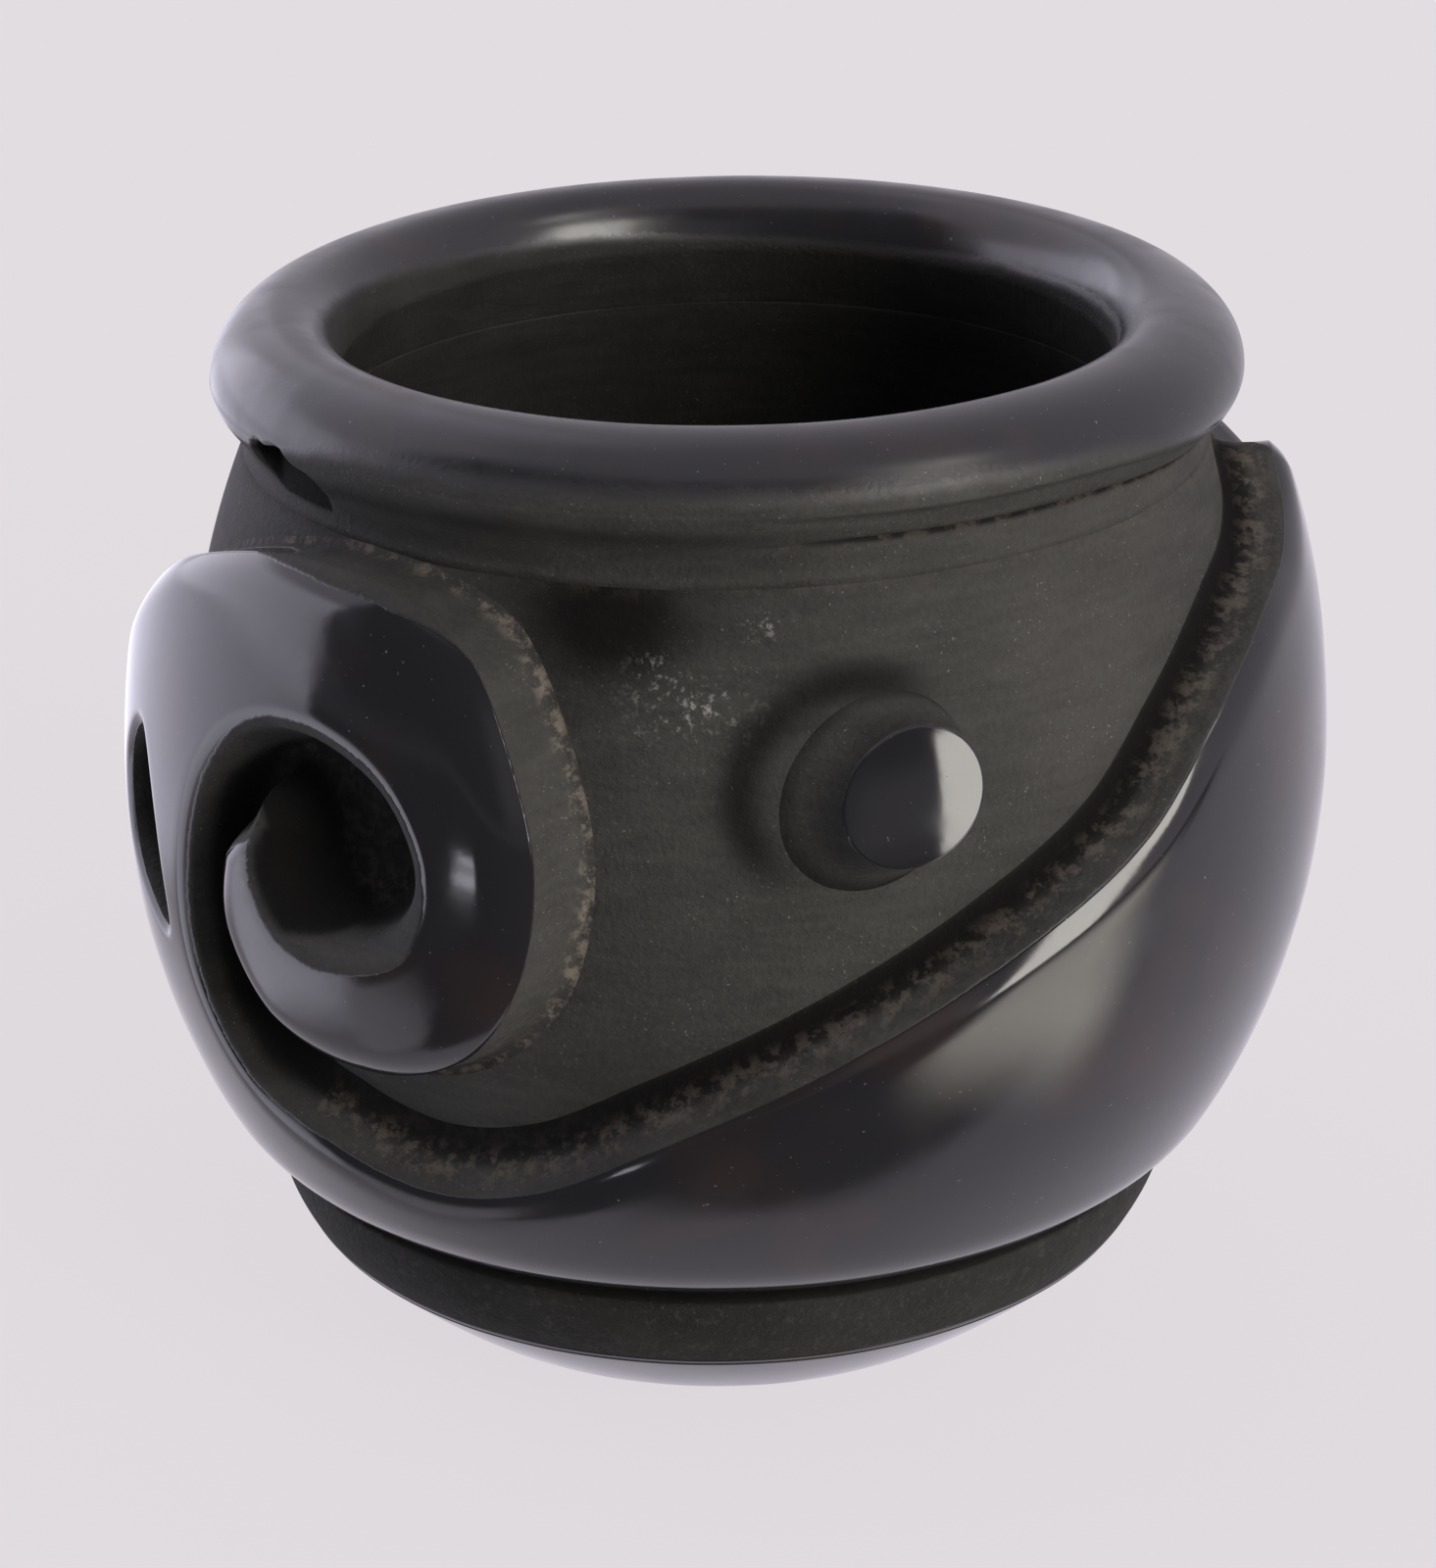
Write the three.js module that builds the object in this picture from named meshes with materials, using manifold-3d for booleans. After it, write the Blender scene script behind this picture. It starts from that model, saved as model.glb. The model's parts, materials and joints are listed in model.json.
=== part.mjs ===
// A small coil-built clay bowl with a burnished black belt of carved waves, two bosses and a rolled rim.
// Millimetres, +Z up. The origin is the middle of the flat base, and the front of the bowl faces -Y.
import * as THREE from 'three';
import { mergeVertices } from 'three/addons/utils/BufferGeometryUtils.js';
import { TessellateModifier } from 'three/addons/modifiers/TessellateModifier.js';
import Module from 'manifold-3d';

// Heights above the surface that the bowl stands on
const BOWL_HEIGHT = 71.5;
const BASE_THICKNESS = 6.1;
const BELT_FOOT_HEIGHT = 11.9;
const BELLY_HEIGHT = 39;

// Diameters, and how far the belly's radius draws in to the belt's foot and to the shoulder
const BELLY_DIAMETER = 84;
const BELT_FOOT_DRAW = 8.1;
const SHOULDER_DRAW = 4.7;
const BASE_DIAMETER = 45.6;
const BASE_TOP_DIAMETER = 61.6;
const BASE_BULGE = 1.5;
const FLOOR_DIAMETER = 37;

// Rim coil: how far it rolls down from its top to its widest, and how far inside the top the mouth lies
const MOUTH_DIAMETER = 52;
const RIM_WIDTH = 8.9;
const RIM_HEIGHT = 8.9;
const RIM_ROLL = 4.5;
const RIM_CREST_WIDTH = 3.6;

// Walls, carving and clearances
const WALL_THICKNESS = 5;
const CARVE_DEPTH = 4.5;
const CARVE_DRAFT = 1.8;
const GROOVE_STEP = 1.5;
const EDGE_ROUND = 0.8;
const SEAT_GAP = 0.3;
const CUT_MARGIN = 3;

// Oval boss in the open ground above each band. Its foot spreads further to the left than to the right.
const BOSS_LENGTH = 10;
const BOSS_WIDTH = 8;
const BOSS_FLARE = 2.6;
const BOSS_RISE = 3.6;
const BOSS_CROWN = 0.7;
const BOSS_FOOT_LEAN = 2.1;
const BOSS_TILT = 32;

// Almond-shaped slit behind each scroll: how far its two sides bow out from the line between its tips
const SLIT_BOW_LEFT = 6;
const SLIT_BOW_RIGHT = 0.7;

// Facets
const ROUND_STEPS = 56;
const CURVE_STEPS = 4;
const OUTLINE_STEP = 2.4;
const LARGEST_FACET = 16;
const BOSS_STEPS = 24;

// The waves as drawn on the unrolled belt: degrees round from a wave's front, then the share of the belt's
// height. Two waves stand half a turn apart and run on into each other at the seam.
const HALF_TURN_ANGLE = 180;
const SEAM_ANGLE = -82;
// The crest runs over the top of the scroll and curls in to its tip.
const CREST_EDGE = [
  [-55, 0.959], [-43, 0.98], [-33, 0.978], [-25, 0.927], [-18.7, 0.811], [-15.8, 0.663], [-17.9, 0.503],
  [-25, 0.387], [-35.5, 0.345], [-45.7, 0.383], [-50.8, 0.491], [-49.4, 0.591], [-45.8, 0.66],
];
// The eye is the hollow that the curl closes round.
const EYE_EDGE = [
  [-42.8, 0.688], [-41.6, 0.655], [-43, 0.586], [-41, 0.525], [-35.5, 0.499], [-29.4, 0.544],
  [-26.6, 0.645], [-30.2, 0.74], [-38, 0.787],
];
// The band falls down the stem and sweeps under the scroll.
const BAND_EDGE = [
  [-46.5, 0.771], [-53, 0.682], [-56.2, 0.527], [-56.2, 0.377], [-51.8, 0.258], [-43, 0.197],
  [-31, 0.166], [-19, 0.203], [-6, 0.302], [10, 0.422], [26, 0.541],
];
// Each wave has its own shoulder before the crest and its own climb after the band: the front band climbs to
// the neck, and the back band stays low and lifts into the front scroll.
const WAVES = [
  {
    side: 'front',
    shoulder: [[SEAM_ANGLE, 0.803], [-76, 0.852], [-69, 0.896]],
    climb: [[40, 0.645], [50, 0.751], [62, 0.842], [73, 0.887], [79.5, 0.931], [83, 0.98], [88, 0.972]],
  },
  {
    side: 'back',
    shoulder: [[SEAM_ANGLE, 0.882], [-69, 0.906]],
    climb: [[40, 0.586], [55, 0.606], [70, 0.63], [80, 0.66], [88, 0.719]],
  },
];
const SLIT_TIPS = [[-69, 0.694], [-63, 0.418]];
const BOSS_PLACE = [16.5, 0.763];

const BELLY_RADIUS = BELLY_DIAMETER / 2;
const NECK_HEIGHT = BOWL_HEIGHT - RIM_HEIGHT;

// Half-heights of the two ellipses that meet at the belly and pass through the belt's foot and the shoulder
function ellipseReach(rise, draw) {
  const share = 1 - draw / BELLY_RADIUS;
  return rise / Math.sqrt(1 - share * share);
}
const REACH_DOWN = ellipseReach(BELLY_HEIGHT - BELT_FOOT_HEIGHT, BELT_FOOT_DRAW);
const REACH_UP = ellipseReach(NECK_HEIGHT - BELLY_HEIGHT, SHOULDER_DRAW);

// Radius of the burnished belly, before carving
function bellyRadius(height) {
  const away = height - BELLY_HEIGHT;
  const reach = away < 0 ? REACH_DOWN : REACH_UP;
  return BELLY_RADIUS * Math.sqrt(1 - (away / reach) ** 2);
}

// How fast that radius grows with height
function bellySlope(height) {
  const away = height - BELLY_HEIGHT;
  const reach = away < 0 ? REACH_DOWN : REACH_UP;
  return (-BELLY_RADIUS * BELLY_RADIUS * away) / (reach * reach * bellyRadius(height));
}

// Radius of the matt ground that the carving leaves, and of the hollow behind it
function groundRadius(height) {
  return bellyRadius(height) - CARVE_DEPTH;
}
function hollowRadius(height) {
  return groundRadius(height) - WALL_THICKNESS;
}

// A point of a profile or of a flat drawing
function at(across, up) {
  return new THREE.Vector2(across, up);
}

// Points of a profile that follows a radius from one height to another
function follow(radiusAt, from, to) {
  const points = [];
  for (let step = 0; step <= CURVE_STEPS; step += 1) {
    const height = step === CURVE_STEPS ? to : from + ((to - from) * step) / CURVE_STEPS;
    points.push(at(radiusAt(height), height));
  }
  return points;
}

function bow(start, control, end) {
  return new THREE.QuadraticBezierCurve(start, control, end).getPoints(CURVE_STEPS);
}

// A disc or ring turned about the bowl's axis
function disc(profile) {
  const geometry = new THREE.LatheGeometry(profile, ROUND_STEPS);
  geometry.rotateX(Math.PI / 2);
  return geometry;
}
function ring(profile) {
  return disc([...profile, profile[0].clone()]);
}

// The flat pat of clay under the bowl, burnished on its rounded edge
function baseGeometry() {
  const foot = at(BASE_DIAMETER / 2, 0);
  const top = at(BASE_TOP_DIAMETER / 2, BASE_THICKNESS);
  const bulge = foot.clone().add(top).divideScalar(2).add(at(BASE_BULGE, -BASE_BULGE));
  return disc([at(0, 0), ...bow(foot, bulge, top), at(0, BASE_THICKNESS)]);
}

// The first coil course: a recessed groove outside, and a ledge on top for the belt
function footCourseGeometry() {
  const groove = at(BASE_TOP_DIAMETER / 2, BASE_THICKNESS);
  const ledge = at(bellyRadius(BELT_FOOT_HEIGHT) - GROOVE_STEP, BELT_FOOT_HEIGHT);
  const inside = at(hollowRadius(BELT_FOOT_HEIGHT), BELT_FOOT_HEIGHT);
  const floor = at(FLOOR_DIAMETER / 2, BASE_THICKNESS);
  const halfway = (BASE_THICKNESS + BELT_FOOT_HEIGHT) / 2;
  return ring([
    ...bow(groove, at(ledge.x, halfway), ledge),
    ...bow(inside, at(inside.x, halfway), floor),
  ]);
}

// A wall course of coils between two heights, with the carved ground as its outside
function wallCourseGeometry(from, to) {
  return ring([...follow(groundRadius, from, to), ...follow(hollowRadius, to, from)]);
}

// The rim coil, rolled out over the neck and in over the mouth
function rimGeometry() {
  const mouth = MOUTH_DIAMETER / 2;
  const crest = mouth + RIM_CREST_WIDTH;
  const widest = BOWL_HEIGHT - RIM_ROLL;
  const halfway = (widest + NECK_HEIGHT) / 2;
  const outside = at(mouth + RIM_WIDTH, widest);
  const inside = at(mouth, widest);
  const neckOutside = at(groundRadius(NECK_HEIGHT), NECK_HEIGHT);
  const neckInside = at(hollowRadius(NECK_HEIGHT), NECK_HEIGHT);
  const outward = RIM_WIDTH - RIM_CREST_WIDTH;
  const outer = new THREE.EllipseCurve(crest, widest, outward, RIM_ROLL, 0, Math.PI / 2);
  const inner = new THREE.EllipseCurve(crest, widest, RIM_CREST_WIDTH, RIM_ROLL, Math.PI / 2, Math.PI);
  return ring([
    ...bow(neckOutside, at(outside.x, halfway), outside).slice(0, -1),
    ...outer.getPoints(CURVE_STEPS).slice(0, -1),
    ...inner.getPoints(CURVE_STEPS),
    ...bow(inside, at(inside.x, halfway), neckInside).slice(1),
  ]);
}

// Flat millimetres on the unrolled belt for a place in the drawing
function onBelt([degrees, share]) {
  const along = THREE.MathUtils.degToRad(degrees) * BELLY_RADIUS;
  return at(along, BELT_FOOT_HEIGHT + share * (NECK_HEIGHT - BELT_FOOT_HEIGHT));
}

// Bends a flat drawing round the bowl: x runs round the belly, y is the height, z the depth below its face
function bendOnBelly(geometry) {
  const places = geometry.attributes.position;
  for (let index = 0; index < places.count; index += 1) {
    const height = places.getY(index);
    const turn = places.getX(index) / BELLY_RADIUS;
    const radius = bellyRadius(height) - places.getZ(index);
    places.setXYZ(index, radius * Math.sin(turn), -radius * Math.cos(turn), height);
  }
  return geometry;
}

// The closed outline of one wave, anticlockwise from its left end, running on below the belt's foot. Its last
// place is the next wave's seam.
function waveOutline(wave, next) {
  const seam = [SEAM_ANGLE + HALF_TURN_ANGLE, next.shoulder[0][1]];
  const drawn = [...wave.shoulder, ...CREST_EDGE, ...EYE_EDGE, ...BAND_EDGE, ...wave.climb, seam];
  const places = drawn.map(onBelt);
  const edge = new THREE.CatmullRomCurve3(
    places.map((place) => new THREE.Vector3(place.x, place.y, 0)),
    false,
    'centripetal',
  );
  const steps = Math.round(edge.getLength() / OUTLINE_STEP);
  edge.arcLengthDivisions = steps * CURVE_STEPS;
  edge.updateArcLengths();
  const upper = edge.getSpacedPoints(steps).map((place) => at(place.x, place.y));
  upper[0].x += SEAT_GAP / 2;
  upper[steps].x -= SEAT_GAP / 2;
  const below = BELT_FOOT_HEIGHT - CUT_MARGIN;
  return [at(upper[0].x, below), at(upper[steps].x, below), ...upper.reverse()];
}

// The closed outline of the slit, anticlockwise from its upper tip
function slitOutline() {
  const [top, foot] = SLIT_TIPS.map(onBelt);
  const middle = top.clone().add(foot).divideScalar(2);
  const left = middle.clone().add(at(-2 * SLIT_BOW_LEFT, 0));
  const right = middle.clone().add(at(2 * SLIT_BOW_RIGHT, 0));
  return [...bow(top, left, foot).slice(0, -1), ...bow(foot, right, top).slice(0, -1)];
}

// Moves an outline inwards, but keeps its straight ends, where the waves meet, in their planes
function insetOutline(outline, distance) {
  return outline.map((place, index) => {
    const before = outline[(index + outline.length - 1) % outline.length];
    const after = outline[(index + 1) % outline.length];
    const along = after.clone().sub(before).normalize();
    const onEnd = place.x === before.x || place.x === after.x;
    const inward = onEnd ? at(0, -1) : at(-along.y, along.x);
    return place.clone().addScaledVector(inward, distance);
  });
}

// A prism through the belt, bent round the bowl and cut square to the belly. Towards the back its sides
// spread by the draft, and at the belly's face they round inwards, or outwards where both are negative.
function bentPrism(outline, rounding, draft) {
  const reach = Math.abs(rounding);
  const levels = [
    [CARVE_DEPTH + CUT_MARGIN, -draft],
    [CARVE_DEPTH, -draft],
    [reach, 0],
    [reach * (1 - Math.SQRT1_2), rounding * (1 - Math.SQRT1_2)],
    [0, rounding],
    [-CUT_MARGIN, rounding],
  ];
  const rings = levels.map(([depth, inset]) => insetOutline(outline, inset).map((place) => {
    const lean = place.y > BELT_FOOT_HEIGHT ? depth * bellySlope(place.y) : 0;
    return new THREE.Vector3(place.x, place.y + lean, depth);
  }));
  const back = rings[0];
  const front = rings[rings.length - 1];
  const corners = [];
  for (const [a, b, c] of THREE.ShapeUtils.triangulateShape(back.map(({ x, y }) => at(x, y)), [])) {
    corners.push(back[a], back[c], back[b]);
  }
  for (const [a, b, c] of THREE.ShapeUtils.triangulateShape(front.map(({ x, y }) => at(x, y)), [])) {
    corners.push(front[a], front[b], front[c]);
  }
  for (let level = 0; level + 1 < rings.length; level += 1) {
    const low = rings[level];
    const high = rings[level + 1];
    low.forEach((place, index) => {
      const next = (index + 1) % low.length;
      corners.push(place, low[next], high[next], place, high[next], high[index]);
    });
  }
  const flatPrism = new THREE.BufferGeometry().setFromPoints(corners);
  const rounds = outline.length;
  return bendOnBelly(new TessellateModifier(LARGEST_FACET, rounds).modify(flatPrism));
}

// The uncarved belt: a skin of clay outside the ground, with its lower edge rounded over
function beltGeometry() {
  const foot = at(bellyRadius(BELT_FOOT_HEIGHT), BELT_FOOT_HEIGHT);
  const faceStart = BELT_FOOT_HEIGHT + EDGE_ROUND;
  const backRadius = (height) => groundRadius(height) + SEAT_GAP;
  return ring([
    ...bow(at(foot.x - EDGE_ROUND, foot.y), foot, at(bellyRadius(faceStart), faceStart)).slice(0, -1),
    ...follow(bellyRadius, faceStart, BELLY_HEIGHT).slice(0, -1),
    ...follow(bellyRadius, BELLY_HEIGHT, NECK_HEIGHT),
    ...follow(backRadius, NECK_HEIGHT, BELLY_HEIGHT).slice(0, -1),
    ...follow(backRadius, BELLY_HEIGHT, BELT_FOOT_HEIGHT),
  ]);
}

// Closed meshes as solids that can be cut, and back
const wasm = await Module();
wasm.setup();

function toSolid(geometry) {
  geometry.deleteAttribute('normal');
  geometry.deleteAttribute('uv');
  const merged = mergeVertices(geometry);
  return new wasm.Manifold(new wasm.Mesh({
    numProp: 3,
    vertProperties: merged.attributes.position.array,
    triVerts: new Uint32Array(merged.index.array),
  }));
}
function toGeometry(solid) {
  const mesh = solid.getMesh();
  const geometry = new THREE.BufferGeometry();
  geometry.setAttribute('position', new THREE.BufferAttribute(mesh.vertProperties, 3));
  geometry.setIndex(new THREE.BufferAttribute(mesh.triVerts, 1));
  return geometry;
}

// One wave of the relief, carved from the belt
function waveGeometry(wave, next) {
  const carved = toSolid(bentPrism(waveOutline(wave, next), EDGE_ROUND, CARVE_DRAFT));
  const slit = toSolid(bentPrism(slitOutline(), -EDGE_ROUND, 0));
  return toGeometry(toSolid(beltGeometry()).intersect(carved).subtract(slit));
}

// An oval boss with a flared side and a domed top, seated on the ground
function bossGeometry() {
  const long = BOSS_LENGTH / 2;
  const footLong = long + BOSS_FLARE;
  const footWide = BOSS_WIDTH / 2 + BOSS_FLARE;
  const top = BOSS_RISE + BOSS_CROWN;
  const geometry = new THREE.LatheGeometry([
    at(0, 0),
    at(footLong / 2, 0),
    ...bow(at(footLong, 0), at(long, 0), at(long, BOSS_RISE)).slice(0, -1),
    ...bow(at(long, BOSS_RISE), at(long, top), at(0, top)),
  ], BOSS_STEPS);
  geometry.rotateX(Math.PI / 2);
  geometry.scale(1, footWide / footLong, 1);
  geometry.rotateZ(THREE.MathUtils.degToRad(BOSS_TILT));
  const place = onBelt(BOSS_PLACE);
  geometry.translate(place.x, place.y, 0);
  const places = geometry.attributes.position;
  for (let index = 0; index < places.count; index += 1) {
    const height = places.getZ(index);
    const spread = Math.max(0, 1 - height / BOSS_RISE);
    places.setX(index, places.getX(index) - BOSS_FOOT_LEAN * spread * spread);
    places.setZ(index, CARVE_DEPTH - SEAT_GAP - height);
  }
  return bendOnBelly(geometry);
}

const burnished = { color: 0x1c1b1f, roughness: 0.28, metalness: 0 };
const matt = { color: 0x32312f, roughness: 0.92, metalness: 0 };

function piece(name, geometry, finish) {
  const mesh = new THREE.Mesh(geometry, new THREE.MeshStandardMaterial(finish));
  mesh.name = name;
  return mesh;
}

const bowl = new THREE.Group();
bowl.add(
  piece('base_pat', baseGeometry(), burnished),
  piece('foot_course', footCourseGeometry(), matt),
  piece('belly_course', wallCourseGeometry(BELT_FOOT_HEIGHT, BELLY_HEIGHT), matt),
  piece('shoulder_course', wallCourseGeometry(BELLY_HEIGHT, NECK_HEIGHT), matt),
  piece('rim_coil', rimGeometry(), burnished),
);
WAVES.forEach((wave, index) => {
  const next = WAVES[(index + 1) % WAVES.length];
  const motif = new THREE.Group();
  motif.rotation.z = THREE.MathUtils.degToRad(HALF_TURN_ANGLE * index);
  motif.add(
    piece(`${wave.side}_wave_relief`, waveGeometry(wave, next), burnished),
    piece(`${wave.side}_boss`, bossGeometry(), burnished),
  );
  bowl.add(motif);
});

export default bowl;
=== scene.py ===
"""Dresses the packed clay bowl: the coil-built wall, the rolled rim, the base, the carved waves and the bosses.

Sizes are in millimetres, as the potter would measure them, and meshes are in metres. The frame is the part's
own: the origin is the middle of the flat base, +Z is up and the front of the bowl faces -Y.
"""
import json
import logging
import math
from dataclasses import dataclass, field, fields
from enum import Enum
from typing import Any, ClassVar, Sequence

import bpy
import numpy as np
from mathutils import Matrix, Vector, geometry, kdtree

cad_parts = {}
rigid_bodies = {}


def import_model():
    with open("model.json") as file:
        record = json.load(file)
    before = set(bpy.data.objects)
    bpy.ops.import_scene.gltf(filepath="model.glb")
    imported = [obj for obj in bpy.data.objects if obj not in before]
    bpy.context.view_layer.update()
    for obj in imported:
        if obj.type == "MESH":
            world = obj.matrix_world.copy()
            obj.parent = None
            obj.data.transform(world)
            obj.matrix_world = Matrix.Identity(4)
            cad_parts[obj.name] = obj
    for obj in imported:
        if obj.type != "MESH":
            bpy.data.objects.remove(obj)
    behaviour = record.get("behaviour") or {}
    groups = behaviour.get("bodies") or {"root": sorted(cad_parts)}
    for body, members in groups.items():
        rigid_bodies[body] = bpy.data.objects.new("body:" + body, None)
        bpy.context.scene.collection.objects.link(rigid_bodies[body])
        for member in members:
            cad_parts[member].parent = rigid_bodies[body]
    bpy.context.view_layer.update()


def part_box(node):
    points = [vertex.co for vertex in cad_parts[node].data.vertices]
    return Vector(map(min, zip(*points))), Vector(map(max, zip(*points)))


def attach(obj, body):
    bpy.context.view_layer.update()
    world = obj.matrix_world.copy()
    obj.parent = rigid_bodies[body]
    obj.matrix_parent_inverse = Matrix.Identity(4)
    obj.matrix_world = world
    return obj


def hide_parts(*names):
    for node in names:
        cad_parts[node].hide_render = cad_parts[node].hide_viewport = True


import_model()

MM = 0.001
BODY = "root"
LOG = logging.getLogger("bowl")
Floats = np.ndarray
Socket = bpy.types.NodeSocket
Colour = tuple[float, float, float]
Profile = list[tuple[float, float]]


class Slot(Enum):
    """The record's two finishes."""

    BURNISHED = "burnished_clay"
    MATT = "matt_clay"


class Mask(Enum):
    """What the points of a piece tell its finish."""

    POLISH = "polish"
    # Painted shade in cuts, hollows, creases and inside the bowl, together with the real darker stain on the front
    # ground.
    DARK = "dark"
    RESIDUE = "residue"
    SCUFF = "scuff"


Masks = dict[Mask, Floats]


def ease(value: Floats, low: float, high: float) -> Floats:
    """Smooth step from 0 at low to 1 at high."""
    share = np.clip((value - low) / (high - low), 0.0, 1.0)
    return share * share * (3.0 - 2.0 * share)


def patch(across: Floats, up: Floats, size: Sequence[float]) -> Floats:
    """Soft oval patch, 1 in the middle and about a third at its size."""
    return np.exp(-((across / size[0]) ** 2) - (up / size[1]) ** 2)


# The bowl's round form


@dataclass(frozen=True)
class BellyForm:
    """The round form of the bowl and the levels that the knife cuts down to.

    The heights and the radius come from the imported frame, and the draws say how the belly closes. The bowl
    stands a little askew, so points lean to the right with their height.
    """

    radius: float
    height: float
    widest: float
    belt_foot: float
    neck: float
    foot_draw: float = 8.1
    shoulder_draw: float = 4.7
    carve: float = 4.5
    wall: float = 5.0
    skin: float = 0.08
    lean: float = 0.018

    @classmethod
    def from_frame(cls) -> "BellyForm":
        """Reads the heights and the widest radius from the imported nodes."""
        relief_low, relief_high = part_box("front_wave_relief")
        rim_low, rim_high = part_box("rim_coil")
        shoulder_low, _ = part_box("shoulder_course")
        belly_low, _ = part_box("belly_course")
        return cls(
            radius=max(-relief_low.x, relief_high.x) / MM,
            height=rim_high.z / MM,
            widest=shoulder_low.z / MM,
            belt_foot=belly_low.z / MM,
            neck=rim_low.z / MM,
        )

    def _reach(self, rise: float, draw: float) -> float:
        """Half-height of the ellipse that draws in by that much over that rise."""
        share = 1.0 - draw / self.radius
        return rise / math.sqrt(1.0 - share * share)

    def _reach_at(self, height: Floats) -> Floats:
        """Half-height of the ellipse that holds at each height."""
        down = self._reach(self.widest - self.belt_foot, self.foot_draw)
        up = self._reach(self.neck - self.widest, self.shoulder_draw)
        return np.where(height < self.widest, down, up)

    def radius_at(self, height: Floats) -> Floats:
        """Radius of the burnished belly before carving, at each height."""
        away = (height - self.widest) / self._reach_at(height)
        return self.radius * np.sqrt(1.0 - away * away)

    def slope_at(self, height: Floats) -> Floats:
        """How fast that radius grows with height."""
        reach = self._reach_at(height)
        return -(self.radius**2) * (height - self.widest) / (reach * reach * self.radius_at(height))

    def ground_at(self, height: Floats) -> Floats:
        """Radius of the matt ground that the carving leaves."""
        return self.radius_at(height) - self.carve - self.skin

    def hollow_at(self, height: Floats) -> Floats:
        """Radius of the hollow inside the wall."""
        return self.radius_at(height) - self.carve - self.wall

    def on_belt(self, degrees: float, share: float) -> tuple[float, float]:
        """A place of the drawing in flat millimetres: along the belly, then the height."""
        return math.radians(degrees) * self.radius, self.belt_foot + share * (self.neck - self.belt_foot)

    def bend(self, along: Floats, height: Floats, depth: Floats) -> Floats:
        """Bends flat places round the bowl, cutting square to the belly.

        Args:
            along: Millimetres round the belly from the front.
            height: Height of the place on the belly's face.
            depth: How far below the face the place lies.

        Returns:
            Points in millimetres, one row each.
        """
        level = height + depth * self.slope_at(height)
        reach = self.radius_at(level) - self.skin - depth
        turn = along / self.radius
        return np.stack([reach * np.sin(turn), -reach * np.cos(turn), level], axis=-1)

    def leant(self, points: Floats) -> Floats:
        """Leans points to the right with their height over the belly's widest."""
        return points + np.outer(points[:, 2] - self.widest, (self.lean, 0.0, 0.0))


# Meshes


def new_piece(name: str, points: Floats, faces: Sequence[Sequence[int]]) -> bpy.types.Object:
    """Makes an object at the origin from points in millimetres.

    Args:
        name: Name of the piece.
        points: Points, one row each.
        faces: Corner numbers of each face, anticlockwise seen from outside; a pair is an edge.

    Returns:
        The object, linked to the scene.
    """
    mesh = bpy.data.meshes.new(name)
    edges = [face for face in faces if len(face) == 2]
    mesh.from_pydata((points * MM).tolist(), edges, [face for face in faces if len(face) > 2])
    mesh.update()
    piece = bpy.data.objects.new(name, mesh)
    bpy.context.scene.collection.objects.link(piece)
    return piece


def points_of(piece: bpy.types.Object) -> Floats:
    """The piece's points in millimetres."""
    flat = np.empty(len(piece.data.vertices) * 3)
    piece.data.vertices.foreach_get("co", flat)
    return flat.reshape(-1, 3) / MM


def set_points(piece: bpy.types.Object, points: Floats) -> None:
    """Moves the piece's points to these places in millimetres."""
    piece.data.vertices.foreach_set("co", (points * MM).ravel())
    piece.data.update()


def turn_of(points: Floats) -> Floats:
    """Degrees round the bowl from its front, to the right."""
    return np.degrees(np.arctan2(points[:, 0], -points[:, 1]))


def reach_of(points: Floats) -> Floats:
    """Distance of points from the bowl's axis."""
    return np.hypot(points[:, 0], points[:, 1])


def finish_piece(piece: bpy.types.Object, masks: Masks, nodes: Sequence[str]) -> bpy.types.Object:
    """Stores a piece's masks and says which nodes it stands for.

    Args:
        piece: The piece, with its final mesh.
        masks: What its points tell the finish; a missing mask is 0 all over.
        nodes: CAD nodes that the piece replaces.

    Returns:
        The piece.
    """
    for mask in Mask:
        values = masks.get(mask, np.zeros(len(piece.data.vertices)))
        layer = piece.data.attributes.new(mask.value, "FLOAT", "POINT")
        layer.data.foreach_set("value", values.astype(np.float32))
    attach(piece, BODY)
    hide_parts(*nodes)
    LOG.info("%s: %d points for %s", piece.name, len(piece.data.vertices), ", ".join(nodes))
    return piece


# Geometry Nodes


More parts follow.
